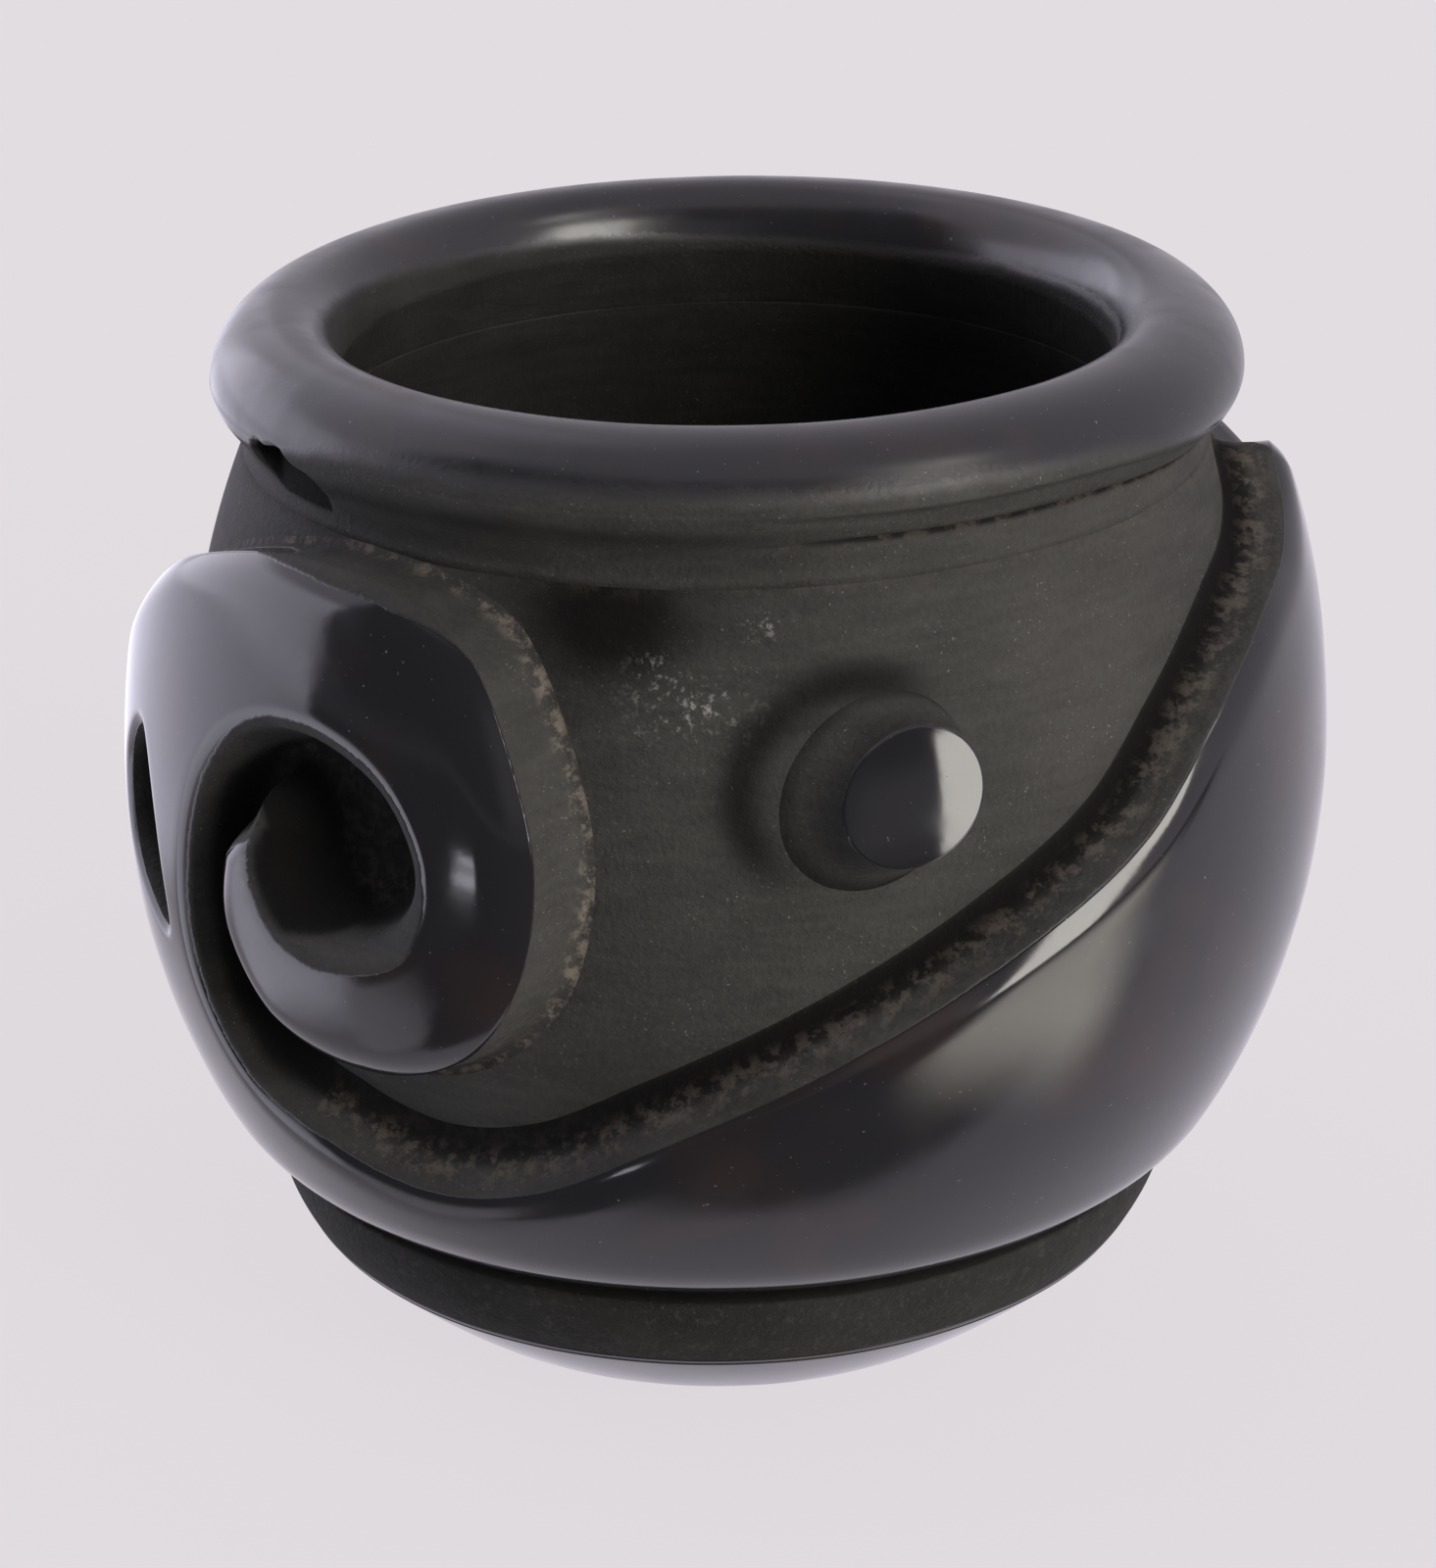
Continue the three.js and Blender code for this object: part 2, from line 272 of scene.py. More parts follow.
@dataclass
class NodeBench:
    """A node tree under construction, with short ways to add and join nodes."""

    tree: bpy.types.NodeTree

    def add(self, kind: str, inputs: dict[Any, Any] | None = None, **settings: Any) -> bpy.types.Node:
        """Adds a node.

        Args:
            kind: Blender's name for the node.
            inputs: For each input's name or number, a socket to join or a value to set.
            **settings: The node's own properties.

        Returns:
            The node.
        """
        node = self.tree.nodes.new(kind)
        for key, value in settings.items():
            setattr(node, key, value)
        for key, value in (inputs or {}).items():
            if isinstance(value, Socket):
                self.tree.links.new(value, node.inputs[key])
            else:
                node.inputs[key].default_value = value
        return node

    def out(self, kind: str, inputs: dict[Any, Any] | None = None, **settings: Any) -> Socket:
        """Adds a node in the same way and gives its first output."""
        return self.add(kind, inputs, **settings).outputs[0]

    def math(self, operation: str, *values: Any, clamp: bool = False) -> Socket:
        """Adds a Math node on these sockets or numbers and gives its output."""
        return self.out("ShaderNodeMath", dict(enumerate(values)), operation=operation, use_clamp=clamp)

    def times(self, *values: Any) -> Socket:
        """Multiplies two sockets or numbers, and adds the third where there is one."""
        return self.math("MULTIPLY_ADD" if len(values) == 3 else "MULTIPLY", *values)

    def span(self, value: Socket, low: float, high: float) -> Socket:
        """Stretches low to high over 0 to 1, with soft ends."""
        inputs = {"Value": value, "From Min": low, "From Max": high}
        return self.out("ShaderNodeMapRange", inputs, interpolation_type="SMOOTHSTEP")

    def blend(self, share: Any, first: Any, second: Any) -> Socket:
        """Blends two values, each a socket or a number."""
        return self.out("ShaderNodeMix", {0: share, 2: first, 3: second})

    def mix(self, share: Any, first: Any, second: Any) -> Socket:
        """Mixes two colours, each a socket or three numbers."""
        colours = [(*c, 1.0) if isinstance(c, tuple) else c for c in (first, second)]
        inputs = {0: share, 6: colours[0], 7: colours[1]}
        return self.add("ShaderNodeMix", inputs, data_type="RGBA").outputs[2]


@dataclass(frozen=True)
class HandWork:
    """The slight unevenness that hands leave: how deep, how broad and which throw of the noise."""

    depth: float
    breadth: float
    seed: float

    def values(self) -> dict[str, float]:
        """The tree inputs that say so."""
        return {"Waver": self.depth * MM, "Waver Size": self.breadth * MM, "Seed": self.seed}


class ShapeTree:
    """A Geometry Nodes tree with named inputs, run once on a piece to give a plain mesh."""

    hand_sizes = {
        "Waver": "NodeSocketFloat",
        "Waver Size": "NodeSocketFloat",
        "Seed": "NodeSocketFloat",
        "Finish": "NodeSocketMaterial",
    }

    def __init__(self, name: str, sizes: dict[str, str]) -> None:
        """Opens the tree with a geometry, its own named inputs and those of the hand work.

        Args:
            name: Name of the tree.
            sizes: Socket kind of each named input of its own.
        """
        self.tree = bpy.data.node_groups.new(name, "GeometryNodeTree")
        self.bench = NodeBench(self.tree)
        face = self.tree.interface
        face.new_socket("Geometry", in_out="INPUT", socket_type="NodeSocketGeometry")
        self.ids = {
            key: face.new_socket(key, in_out="INPUT", socket_type=kind).identifier
            for key, kind in {**sizes, **self.hand_sizes}.items()
        }
        face.new_socket("Geometry", in_out="OUTPUT", socket_type="NodeSocketGeometry")
        self.start = self.bench.add("NodeGroupInput").outputs

    def waver(self, body: Socket) -> Socket:
        """Sinks the geometry unevenly along its normals, always inwards, and gives it back."""
        bench = self.bench
        places = {
            "Vector": bench.out("GeometryNodeInputPosition"),
            "W": self.start["Seed"],
            "Scale": bench.math("DIVIDE", 1.0, self.start["Waver Size"]),
            "Detail": 1.0,
        }
        noise = bench.out("ShaderNodeTexNoise", places, noise_dimensions="4D")
        inward = bench.times(bench.times(noise, self.start["Waver"]), -1.0)
        normal = bench.out("GeometryNodeInputNormal")
        offset = bench.out("ShaderNodeVectorMath", {0: normal, "Scale": inward}, operation="SCALE")
        return bench.out("GeometryNodeSetPosition", {"Geometry": body, "Offset": offset})

    def close(self, body: Socket) -> "ShapeTree":
        """Ends the tree with the hand work, smooth faces, real geometry and the finish."""
        smooth = self.bench.out("GeometryNodeSetShadeSmooth", {"Geometry": self.waver(body)})
        real = self.bench.out("GeometryNodeRealizeInstances", {"Geometry": smooth})
        dressed = self.bench.out("GeometryNodeSetMaterial", {"Geometry": real, "Material": self.start["Finish"]})
        self.bench.add("NodeGroupOutput", {0: dressed})
        return self

    def run(self, piece: bpy.types.Object, values: dict[str, Any]) -> None:
        """Runs the tree on a piece and keeps the result as its plain mesh.

        Args:
            piece: The object whose mesh goes in and is replaced.
            values: Value of each named input.
        """
        modifier = piece.modifiers.new(self.tree.name, "NODES")
        modifier.node_group = self.tree
        for key, value in values.items():
            modifier[self.ids[key]] = value
        shaped = piece.evaluated_get(bpy.context.evaluated_depsgraph_get())
        mesh = bpy.data.meshes.new_from_object(shaped)
        piece.modifiers.remove(modifier)
        flat, piece.data = piece.data, mesh
        bpy.data.meshes.remove(flat)
        mesh.name = piece.name


def turning_tree() -> ShapeTree:
    """Tree that turns a profile, drawn as points in the XZ plane, about the bowl's axis."""
    shape = ShapeTree("turn_about_axis", {"Profile Points": "NodeSocketInt", "Round Steps": "NodeSocketInt"})
    bench, sizes = shape.bench, shape.start
    columns = bench.math("ADD", sizes["Round Steps"], 1.0)
    sheet = bench.out("GeometryNodeMeshGrid", {"Vertices X": sizes["Profile Points"], "Vertices Y": columns})
    index = bench.out("GeometryNodeInputIndex")
    row = bench.math("FLOOR", bench.math("DIVIDE", bench.math("ADD", index, 0.5), columns))
    column = bench.math("SUBTRACT", index, bench.times(row, columns))
    point = {"Geometry": sizes["Geometry"], "Value": bench.out("GeometryNodeInputPosition"), "Index": row}
    drawn = bench.out("GeometryNodeSampleIndex", point, data_type="FLOAT_VECTOR")
    angle = bench.math("DIVIDE", bench.times(column, math.tau), sizes["Round Steps"])
    about = {"Vector": drawn, "Axis": (0.0, 0.0, 1.0), "Angle": angle}
    place = bench.out("ShaderNodeVectorRotate", about, rotation_type="AXIS_ANGLE")
    turned = bench.out("GeometryNodeSetPosition", {"Geometry": sheet, "Position": place})
    closed = bench.out("GeometryNodeMergeByDistance", {"Geometry": turned, "Distance": 1e-7})
    return shape.close(bench.out("GeometryNodeFlipFaces", {"Mesh": closed}))


def repeating_tree() -> ShapeTree:
    """Tree that repeats a piece evenly round the bowl's axis."""
    shape = ShapeTree("repeat_round_axis", {"Count": "NodeSocketInt"})
    bench, sizes = shape.bench, shape.start
    stations = bench.out("GeometryNodePoints", {"Count": sizes["Count"]})
    index = bench.out("GeometryNodeInputIndex")
    angle = bench.math("DIVIDE", bench.times(index, math.tau), sizes["Count"])
    turn = bench.out("ShaderNodeCombineXYZ", {"Z": angle})
    stood = {"Points": stations, "Instance": sizes["Geometry"], "Rotation": turn}
    copies = bench.out("GeometryNodeInstanceOnPoints", stood)
    return shape.close(bench.out("GeometryNodeRealizeInstances", {"Geometry": copies}))


def carving_tree() -> ShapeTree:
    """Tree that leaves the marks of hand work on a carved piece."""
    shape = ShapeTree("work_by_hand", {})
    return shape.close(shape.start["Geometry"])


# Finishes


class ClayBench(NodeBench):
    """The tree of a clay finish, with the masks and the noises that its parts share."""

    def __init__(self, tree: bpy.types.NodeTree, finish: "ClayFinish") -> None:
        """Clears the tree and adds what the parts share.

        Args:
            tree: The material's tree.
            finish: The finish that gives the sizes.
        """
        super().__init__(tree)
        tree.nodes.clear()
        self.place = self.add("ShaderNodeTexCoord").outputs["Object"]
        self.mask = {
            kind: self.add("ShaderNodeAttribute", attribute_name=kind.value).outputs["Fac"] for kind in Mask
        }
        self.grain = self.noise(finish.grain_scale, 4.0, 0.65)
        self.fine = self.noise(finish.fine_scale, 2.0)
        self.mottle = self.noise(finish.mottle_scale)
        self.cloud = self.noise(finish.cloud_scale, 2.0)
        self.lint = self.span(self.noise(finish.lint_scale, 2.0), 0.735, 0.77)
        self.frayed = self.times(self.grain, 0.5, self.times(self.mottle, 0.5))
        self.polish = self.span(self.ragged(Mask.POLISH, 0.6), 0.5 - finish.fringe, 0.5 + finish.fringe)

    def noise(self, scale: float, detail: float = 3.0, roughness: float = 0.55) -> Socket:
        """Noise of that many cycles in a metre."""
        inputs = {"Vector": self.place, "Scale": scale, "Detail": detail, "Roughness": roughness}
        return self.out("ShaderNodeTexNoise", inputs)

    def ragged(self, kind: Mask, reach: float) -> Socket:
        """A mask whose edge is frayed with the grain."""
        return self.times(self.math("SUBTRACT", self.frayed, 0.5), reach, self.mask[kind])


@dataclass(frozen=True)
class ClayFinish:
    """Black-fired clay whose points say how far each place was burnished, what dirt it holds and where shade is
    painted on it.
    """

    name: str
    burnished: Colour = (0.0105, 0.0100, 0.0118)
    burnished_warm: Colour = (0.0190, 0.0125, 0.0120)
    matt_dark: Colour = (0.0195, 0.0189, 0.0172)
    matt_pale: Colour = (0.047, 0.0455, 0.0413)
    # Colour of the painted shade, also used for the real darker stain on the front ground.
    shaded: Colour = (0.0076, 0.0072, 0.0068)
    residue: Colour = (0.150, 0.126, 0.100)
    dust: Colour = (0.30, 0.29, 0.27)
    shine: float = 0.085
    smudge: float = 0.09
    fringe: float = 0.12
    matt_rough: float = 0.78
    matt_gleam: float = 0.3
    index_of_refraction: float = 1.52
    burnished_gleam: float = 0.5
    grain_scale: float = 2400.0
    fine_scale: float = 5200.0
    mottle_scale: float = 420.0
    cloud_scale: float = 85.0
    streak_scale: float = 190.0
    streak_stretch: tuple[float, float, float] = (1.0, 1.0, 6.0)
    cake_scale: float = 900.0
    speck_scale: float = 260.0
    scuff_scale: float = 1500.0
    lint_scale: float = 3100.0
    wear_scale: float = 160.0
    stroke_scale: float = 700.0
    bump_strength: float = 0.55
    bump_height: float = 0.22

    def _matt(self, clay: ClayBench) -> Socket:
        """Colour of the rough clay: wiped in streaks, darkened by painted shade and by the real stain, caked, dusty
        and scuffed.
        """
        wiped = clay.out("ShaderNodeMapping", {"Vector": clay.place, "Scale": self.streak_stretch})
        streaks = clay.out("ShaderNodeTexNoise", {"Vector": wiped, "Scale": self.streak_scale, "Detail": 4.0})
        tone = clay.times(clay.cloud, 0.35, clay.times(clay.grain, 0.45))
        tone = clay.times(streaks, 0.35, tone)
        matt = clay.mix(clay.span(tone, 0.35, 0.82), self.matt_dark, self.matt_pale)
        # Painted shade, and the real stain, mixed into the matt colour.
        matt = clay.mix(clay.span(clay.ragged(Mask.DARK, 0.55), 0.12, 0.95), matt, self.shaded)
        crumbs = clay.span(clay.noise(self.cake_scale, 4.0, 0.7), 0.45, 0.62)
        matt = clay.mix(clay.times(clay.mask[Mask.RESIDUE], crumbs), matt, self.residue)
        strewn = clay.span(clay.noise(self.speck_scale), 0.40, 0.65)
        specks = clay.times(clay.span(clay.fine, 0.66, 0.74), strewn)
        # Dust specks thin out under the painted shade and the stain.
        lit = clay.math("SUBTRACT", 1.0, clay.mask[Mask.DARK], clamp=True)
        matt = clay.mix(clay.times(specks, clay.times(lit, 0.45, 0.05)), matt, self.dust)
        scratches = clay.span(clay.noise(self.scuff_scale, 5.0, 0.75), 0.52, 0.66)
        return clay.mix(clay.times(clay.mask[Mask.SCUFF], scratches), matt, self.dust)

    def _gloss(self, clay: ClayBench) -> Socket:
        """Colour of the burnished clay, with its warm clouds and lint."""
        gloss = clay.mix(clay.span(clay.cloud, 0.48, 0.70), self.burnished, self.burnished_warm)
        return clay.mix(clay.times(clay.lint, 0.4), gloss, self.dust)

    def _roughness(self, clay: ClayBench) -> Socket:
        """Roughness: smudged where the clay is burnished and dull elsewhere."""
        worn = clay.span(clay.noise(self.wear_scale, 4.0, 0.6), 0.38, 0.72)
        smudged = clay.times(clay.lint, 0.3, clay.times(worn, self.smudge, self.shine))
        dulled = clay.times(clay.math("SUBTRACT", clay.grain, 0.5), 0.2, self.matt_rough)
        return clay.blend(clay.polish, dulled, smudged)

    def _gleam(self, clay: ClayBench) -> Socket:
        """Strength of the mirroring, which is dimmed under the painted shade and the stain."""
        lost = -0.85 * self.matt_gleam
        dim = clay.math("MULTIPLY_ADD", clay.mask[Mask.DARK], lost, self.matt_gleam, clamp=True)
        return clay.blend(clay.polish, dim, self.burnished_gleam)

    def _bump(self, clay: ClayBench) -> Socket:
        """Normal, bent by the rough clay's grain and by the faint strokes of the burnishing stone."""
        rasp = clay.times(clay.mottle, 0.9, clay.times(clay.fine, 0.25, clay.grain))
        strokes = clay.times(clay.noise(self.stroke_scale, 2.0), 0.035)
        height = clay.blend(clay.polish, rasp, strokes)
        relief = {"Strength": self.bump_strength, "Distance": self.bump_height * MM, "Height": height}
        return clay.out("ShaderNodeBump", relief)

    def build(self) -> bpy.types.Material:
        """Builds the material from noise on Object coordinates and the piece's own masks."""
        material = bpy.data.materials.new(self.name)
        material.use_nodes = True
        clay = ClayBench(material.node_tree, self)
        surface = {
            "Base Color": clay.mix(clay.polish, self._matt(clay), self._gloss(clay)),
            "Roughness": self._roughness(clay),
            "IOR": self.index_of_refraction,
            "Specular IOR Level": self._gleam(clay),
            "Normal": self._bump(clay),
        }
        clay.add("ShaderNodeOutputMaterial", {"Surface": clay.out("ShaderNodeBsdfPrincipled", surface)})
        return material


# Turned pieces


@dataclass
class TurnedPiece:
    """A piece that is turned about the axis from a drawn profile and dressed by its own masks."""

    form: BellyForm
    hand: HandWork
    name: str = ""
    nodes: tuple[str, ...] = ()
    slot: Slot = Slot.BURNISHED
    round_steps: int = 360

    def profile(self) -> Profile:
        """Radius and height of each point of the profile, going up the outside and down the inside."""
        raise NotImplementedError

    def shape(self, points: Floats) -> Floats:
        """Works the turned points over; a plain piece keeps them."""
        return points

    def masks(self, points: Floats) -> Masks:
        """What the worked points tell the finish."""
        raise NotImplementedError

    def build(self, tree: ShapeTree, finish: bpy.types.Material) -> bpy.types.Object:
        """Turns the piece, works it over, leans it and says what it stands for.

        Args:
            tree: The turning tree.
            finish: The material of the piece.

        Returns:
            The finished piece.
        """
        drawn = np.array([(radius, 0.0, height) for radius, height in self.profile()])
        piece = new_piece(self.name, drawn, [(i, i + 1) for i in range(len(drawn) - 1)])
        steps = {"Profile Points": len(drawn), "Round Steps": self.round_steps}
        tree.run(piece, {**steps, **self.hand.values(), "Finish": finish})
        worked = self.shape(points_of(piece))
        set_points(piece, self.form.leant(worked))
        return finish_piece(piece, self.masks(worked), self.nodes)


def bow(start: Sequence[float], control: Sequence[float], end: Sequence[float], steps: int) -> Profile:
    """Points of a bow from start to end, drawn towards its control point."""
    shares = np.linspace(0.0, 1.0, steps + 1)[:, None]
    drawn = (1 - shares) ** 2 * np.array(start) + 2 * shares * (1 - shares) * np.array(control)
    return [tuple(point) for point in drawn + shares**2 * np.array(end)]


def line(start: Sequence[float], end: Sequence[float], steps: int) -> Profile:
    """Even points of a straight run, without its end."""
    return [tuple(point) for point in np.linspace(start, end, steps + 1)[:-1]]


def quarter(middle: Sequence[float], across: float, up: float, start: float, steps: int) -> Profile:
    """Points of a quarter of an ellipse, turning to the left from a start angle in degrees."""
    angles = np.radians(np.linspace(start, start + 90.0, steps + 1))
    return [(middle[0] + across * math.cos(a), middle[1] + up * math.sin(a)) for a in angles]


@dataclass
class WallCourses(TurnedPiece):
    """The coil-built wall: the matt groove over the base, the carved ground and the hollow inside."""

    name: str = "wall_courses"
    nodes: tuple[str, ...] = ("foot_course", "belly_course", "shoulder_course")
    slot: Slot = Slot.MATT
    round_steps: int = 480
    base_top: tuple[float, float] = (30.5, 6.1)
    groove_step: float = 1.5
    floor_radius: float = 18.5
    lip: float = 0.4
    crisp: float = 0.2
    dark_patch: tuple[float, float, float, float] = (-13.0, 60.4, 6.2, 4.6)
    patch_radius: float = 34.0
    inner_skin: float = 2.0
    inside_dark: float = 0.45
    scuffs: tuple[tuple[float, float, float, float, float], ...] = (
        (-4.4, 55.3, 3.0, 1.6, 0.9), (3.5, 60.0, 1.3, 0.6, 0.8), (-8.0, 57.6, 1.2, 0.8, 0.5),
    )
    # Painted shade round the boss's foot: turn, height and size of its ring.
    moat: tuple[float, float, float, float] = (12.4, 49.8, 7.6, 6.9)
    moat_radius: float = 36.5
    moat_ring: tuple[float, float] = (0.97, 0.24)

    def profile(self) -> Profile:
        """Groove, ledge, ground, neck and hollow."""
        form = self.form
        foot, neck = form.belt_foot, form.neck
        ledge = float(form.radius_at(np.array(foot))) - self.groove_step
        halfway = (self.base_top[1] + foot) / 2
        heights = np.linspace(foot, neck, 101)
        ground = list(zip(form.ground_at(heights), heights))
        hollow = list(zip(form.hollow_at(heights), heights))[::-4]
        inside = hollow[-1]
        floor = (self.floor_radius, self.base_top[1])
        return [
            *bow(self.base_top, (ledge, halfway), (ledge, foot - self.lip), 16),
            *bow((ledge, foot - self.lip), (ledge, foot), (ledge - self.lip, foot), 4)[1:],
            *line((ledge - self.lip, foot), ground[0], 4)[1:],
            *ground[:-1],
            (ground[-1][0], neck - self.crisp),
            ground[-1],
            (ground[-1][0] - self.crisp, neck),
            (hollow[0][0] + self.crisp, neck),
            hollow[0],
            (hollow[0][0], neck - self.crisp),
            *hollow[1:],
            *bow(inside, (inside[0], halfway), floor, 12)[1:],
            *line(floor, self.base_top, 8)[1:],
            self.base_top,
        ]

    def _moat(self, along: Floats, level: Floats) -> Floats:
        """Painted shade of a hollow, in a ring round the left and the top of the boss's foot; the ground itself is
        not hollowed.
        """
        turn, height, across, up = self.moat
        right, above = (along - math.radians(turn) * self.moat_radius) / across, (level - height) / up
        middle, breadth = self.moat_ring
        ring = np.exp(-(((np.hypot(right, above) - middle) / breadth) ** 2))
        return ring * ease(0.6 * above - 0.8 * right, -0.5, 0.5)

    def masks(self, points: Floats) -> Masks:
        """Matt all over, with painted shade inside, in the groove, under the rim and round the boss's foot, and with
        the real darker patch and scuffs of the front ground.
        """
        form = self.form
        level, reach = points[:, 2], reach_of(points)
        outside = reach > form.hollow_at(np.clip(level, form.belt_foot, form.neck)) + self.inner_skin
        along = np.radians(turn_of(points)) * reach

        def spot(turn: float, height: float, *size: float) -> Floats:
            """Soft spot on the ground at that turn and height."""
            return patch(along - math.radians(turn) * self.patch_radius, level - height, size)

        stain = np.minimum(1.1 * spot(*self.dark_patch), 1.0)
        groove = 1.0 - ease(level, form.belt_foot - 0.3, form.belt_foot + 0.3)
        scuff = sum(strength * spot(*place) for *place, strength in self.scuffs)
        crease = 1.0 - ease(form.neck - level, 0.2, 1.6)
        shade_under_rim = crease * (1.0 - ease(turn_of(points), -8.0, 12.0))
        # Painted shade in the groove under the belt, under the rim on the left and round the boss, beside the real
        # darker stain.
        dark = np.maximum.reduce([stain, 0.6 * groove, 0.45 * shade_under_rim, 0.8 * self._moat(along, level)])
        return {
            # Inside the wall, painted shade all over.
            Mask.DARK: np.where(outside, dark, self.inside_dark),
            Mask.RESIDUE: np.where(outside, 0.12 * crease, 0.0),
            Mask.SCUFF: np.where(outside, scuff + 0.05 * groove, 0.0),
        }


@dataclass
class RimCoil(TurnedPiece):
    """The rolled rim coil, with the matt bevel between two creases under its lip and the chip in its edge."""

    name: str = "rolled_rim"
    nodes: tuple[str, ...] = ("rim_coil",)
    round_steps: int = 600
    mouth: float = 26.0
    width: float = 8.9
    crest_width: float = 3.6
    roll: float = 4.5
    root: float = 0.6
    tuck: float = 0.05
    inside_dark: float = 0.45
    crease_height: float = 64.0
    bevel: tuple[tuple[float, float], tuple[float, float]] = ((33.05, 64.2), (33.95, 65.35))
    lip: tuple[float, float] = (34.4, 65.6)
    lip_rise: float = 1.35
    widest_rise: float = 0.3
    fade: float = 2.3
    waist: float = 1.0
    polish_end: float = 69.4
    chip_turn: float = -56.2
    chip_height: float = 64.75
    chip_size: tuple[float, float] = (4.4, 2.6)
    gather: float = 0.65
    creased: tuple[float, float, float, float] = (-4.0, 18.0, 95.0, 130.0)
    raised_ends: tuple[float, float] = (38.0, 70.0)

    def profile(self) -> Profile:
        """Neck, creases, bevel, the round of the coil and the inside of the mouth."""
        form = self.form
        crest = (self.mouth + self.crest_width, form.height - self.roll)
        outer = (self.mouth + self.width, crest[1])
        heights = np.array([form.neck - self.root, form.neck])
        outside = list(zip(form.ground_at(heights) + (-self.tuck, self.tuck), heights))
        inside = list(zip(form.hollow_at(heights) + (self.tuck, -self.tuck), heights))
        fold = (outside[1][0], self.crease_height)
        return [
            outside[0],
            *line(outside[1], fold, 6),
            *line(fold, (fold[0] - 0.15, fold[1] + 0.1), 2),
            *line((fold[0] - 0.15, fold[1] + 0.1), self.bevel[0], 2),
            *line(self.bevel[0], self.bevel[1], 6),
            *line(self.bevel[1], self.lip, 2),
            *bow(self.lip, (outer[0], (self.lip[1] + outer[1]) / 2), outer, 10)[:-1],
            *quarter(crest, self.width - self.crest_width, self.roll, 0.0, 28)[:-1],
            *quarter(crest, self.crest_width, self.roll, 90.0, 24)[:-1],
            *bow((self.mouth, crest[1]), (self.mouth + 0.9, (crest[1] + form.neck) / 2), inside[1], 16),
            inside[0],
            outside[0],
        ]

    def _outside(self, points: Floats) -> Floats:
        """Which points lie on the coil's outer half."""
        return reach_of(points) > self.mouth + self.crest_width

    def _chip(self, points: Floats) -> Floats:
        """How far the chip has taken each point, from 0 to 1."""
        along = np.radians(turn_of(points) - self.chip_turn) * reach_of(points)
        up = points[:, 2] - self.chip_height + 0.08 * along
        away = np.hypot(along / self.chip_size[0], up / self.chip_size[1])
        away += 0.07 * np.sin(1.9 * along + 1.0) * np.cos(1.7 * up)
        broken = (1.0 - ease(away, 0.72, 1.0)) * ease(points[:, 2], self.form.neck + 0.2, self.form.neck + 1.6)
        return np.where(self._outside(points), broken, 0.0)

    def _smoothed(self, points: Floats) -> Floats:
        """How far the creases are smoothed away: all round but for the right of the front."""
        turn = turn_of(points)
        return 1.0 - ease(turn, *self.creased[:2]) * (1.0 - ease(turn, *self.creased[2:]))

    def _raised(self, points: Floats) -> Floats:
        """How far the lip's lower edge is raised, which is most at the front."""
        return self.lip_rise * (1.0 - ease(np.abs(turn_of(points)), *self.raised_ends))

    def _gathered(self, points: Floats) -> Floats:
        """Moves the points round the axis so that they lie closest about the chip."""
        turn = np.radians(turn_of(points) - self.chip_turn)
        turn += math.radians(self.chip_turn) - self.gather * np.sin(turn)
        reach = reach_of(points)
        return np.column_stack([reach * np.sin(turn), -reach * np.cos(turn), points[:, 2]])

    def shape(self, points: Floats) -> Floats:
        """Raises the lip's edge, smooths the creases where the thumb did and breaks the chip out of the lip."""
        points = self._gathered(points)
        form, outer = self.form, self.mouth + self.width
        widest = form.height - self.roll
        levels = (form.neck, self.crease_height, self.lip[1], widest, widest + 2.0)
        share = np.interp(points[:, 2], levels, (0.0, 0.6, 1.0, self.widest_rise, 0.0))
        points[:, 2] += np.where(self._outside(points), self._raised(points) * share, 0.0)
        reach, level = reach_of(points), points[:, 2]
        low = float(form.ground_at(np.array(form.neck)))
        top = widest + self.widest_rise * self._raised(points)
        way = np.clip((level - form.neck) / (top - form.neck), 0.0, 1.0)
        flowing = low + (outer - low) * way**2 * (3.0 - 2.0 * way) - self.waist * way * (1.0 - way) ** 2
        under = self._outside(points) & (way < 1.0) & (way > 0.0) & (reach > low - 0.4)
        worked = np.where(under, reach + (flowing - reach) * self._smoothed(points), reach)
        worked -= self._chip(points) * np.maximum(worked - low - self.tuck, 0.0)
        return np.column_stack([points[:, :2] * (worked / reach)[:, None], level])

    def masks(self, points: Floats) -> Masks:
        """Burnished over the coil, matt on the bevel, with painted shade in the chip, the crease, under the lip and
        inside the mouth.
        """
        outside = self._outside(points)
        level = points[:, 2]
        smoothed, raised = self._smoothed(points), self._raised(points)
        chip = ease(self._chip(points), 0.05, 0.4)
        lip = self.lip[1] + raised + 0.3 * smoothed
        over = ease(level, lip - 0.2, lip + 0.5 + self.fade * raised / self.lip_rise)
        turn = np.radians(turn_of(points))
        end = self.polish_end - 0.7 * np.sin(turn) + 1.5 * np.cos(turn)
        within = ease(level, end - 0.9, end + 0.9)
        flat = np.zeros(len(points))
        # Painted shade, with some real residue, in the crease under the lip, where the creases are not smoothed.
        crease = patch(flat, level - self.crease_height - 0.6 * raised - 0.1, (1.0, 0.3)) * (1.0 - smoothed)
        # Painted shade under the lip's edge.
        under = 0.5 * smoothed * patch(flat, level - lip + 1.5, (1.0, 1.1))
        return {
            Mask.POLISH: np.where(outside, over, within) * (1.0 - chip),
            # Painted shade in the chip, the crease, under the lip and all over inside the mouth.
            Mask.DARK: np.where(outside, np.maximum.reduce([chip, 0.9 * crease, under]), self.inside_dark),
            Mask.RESIDUE: np.where(outside, 0.3 * crease * (1.0 - chip), 0.0),
        }


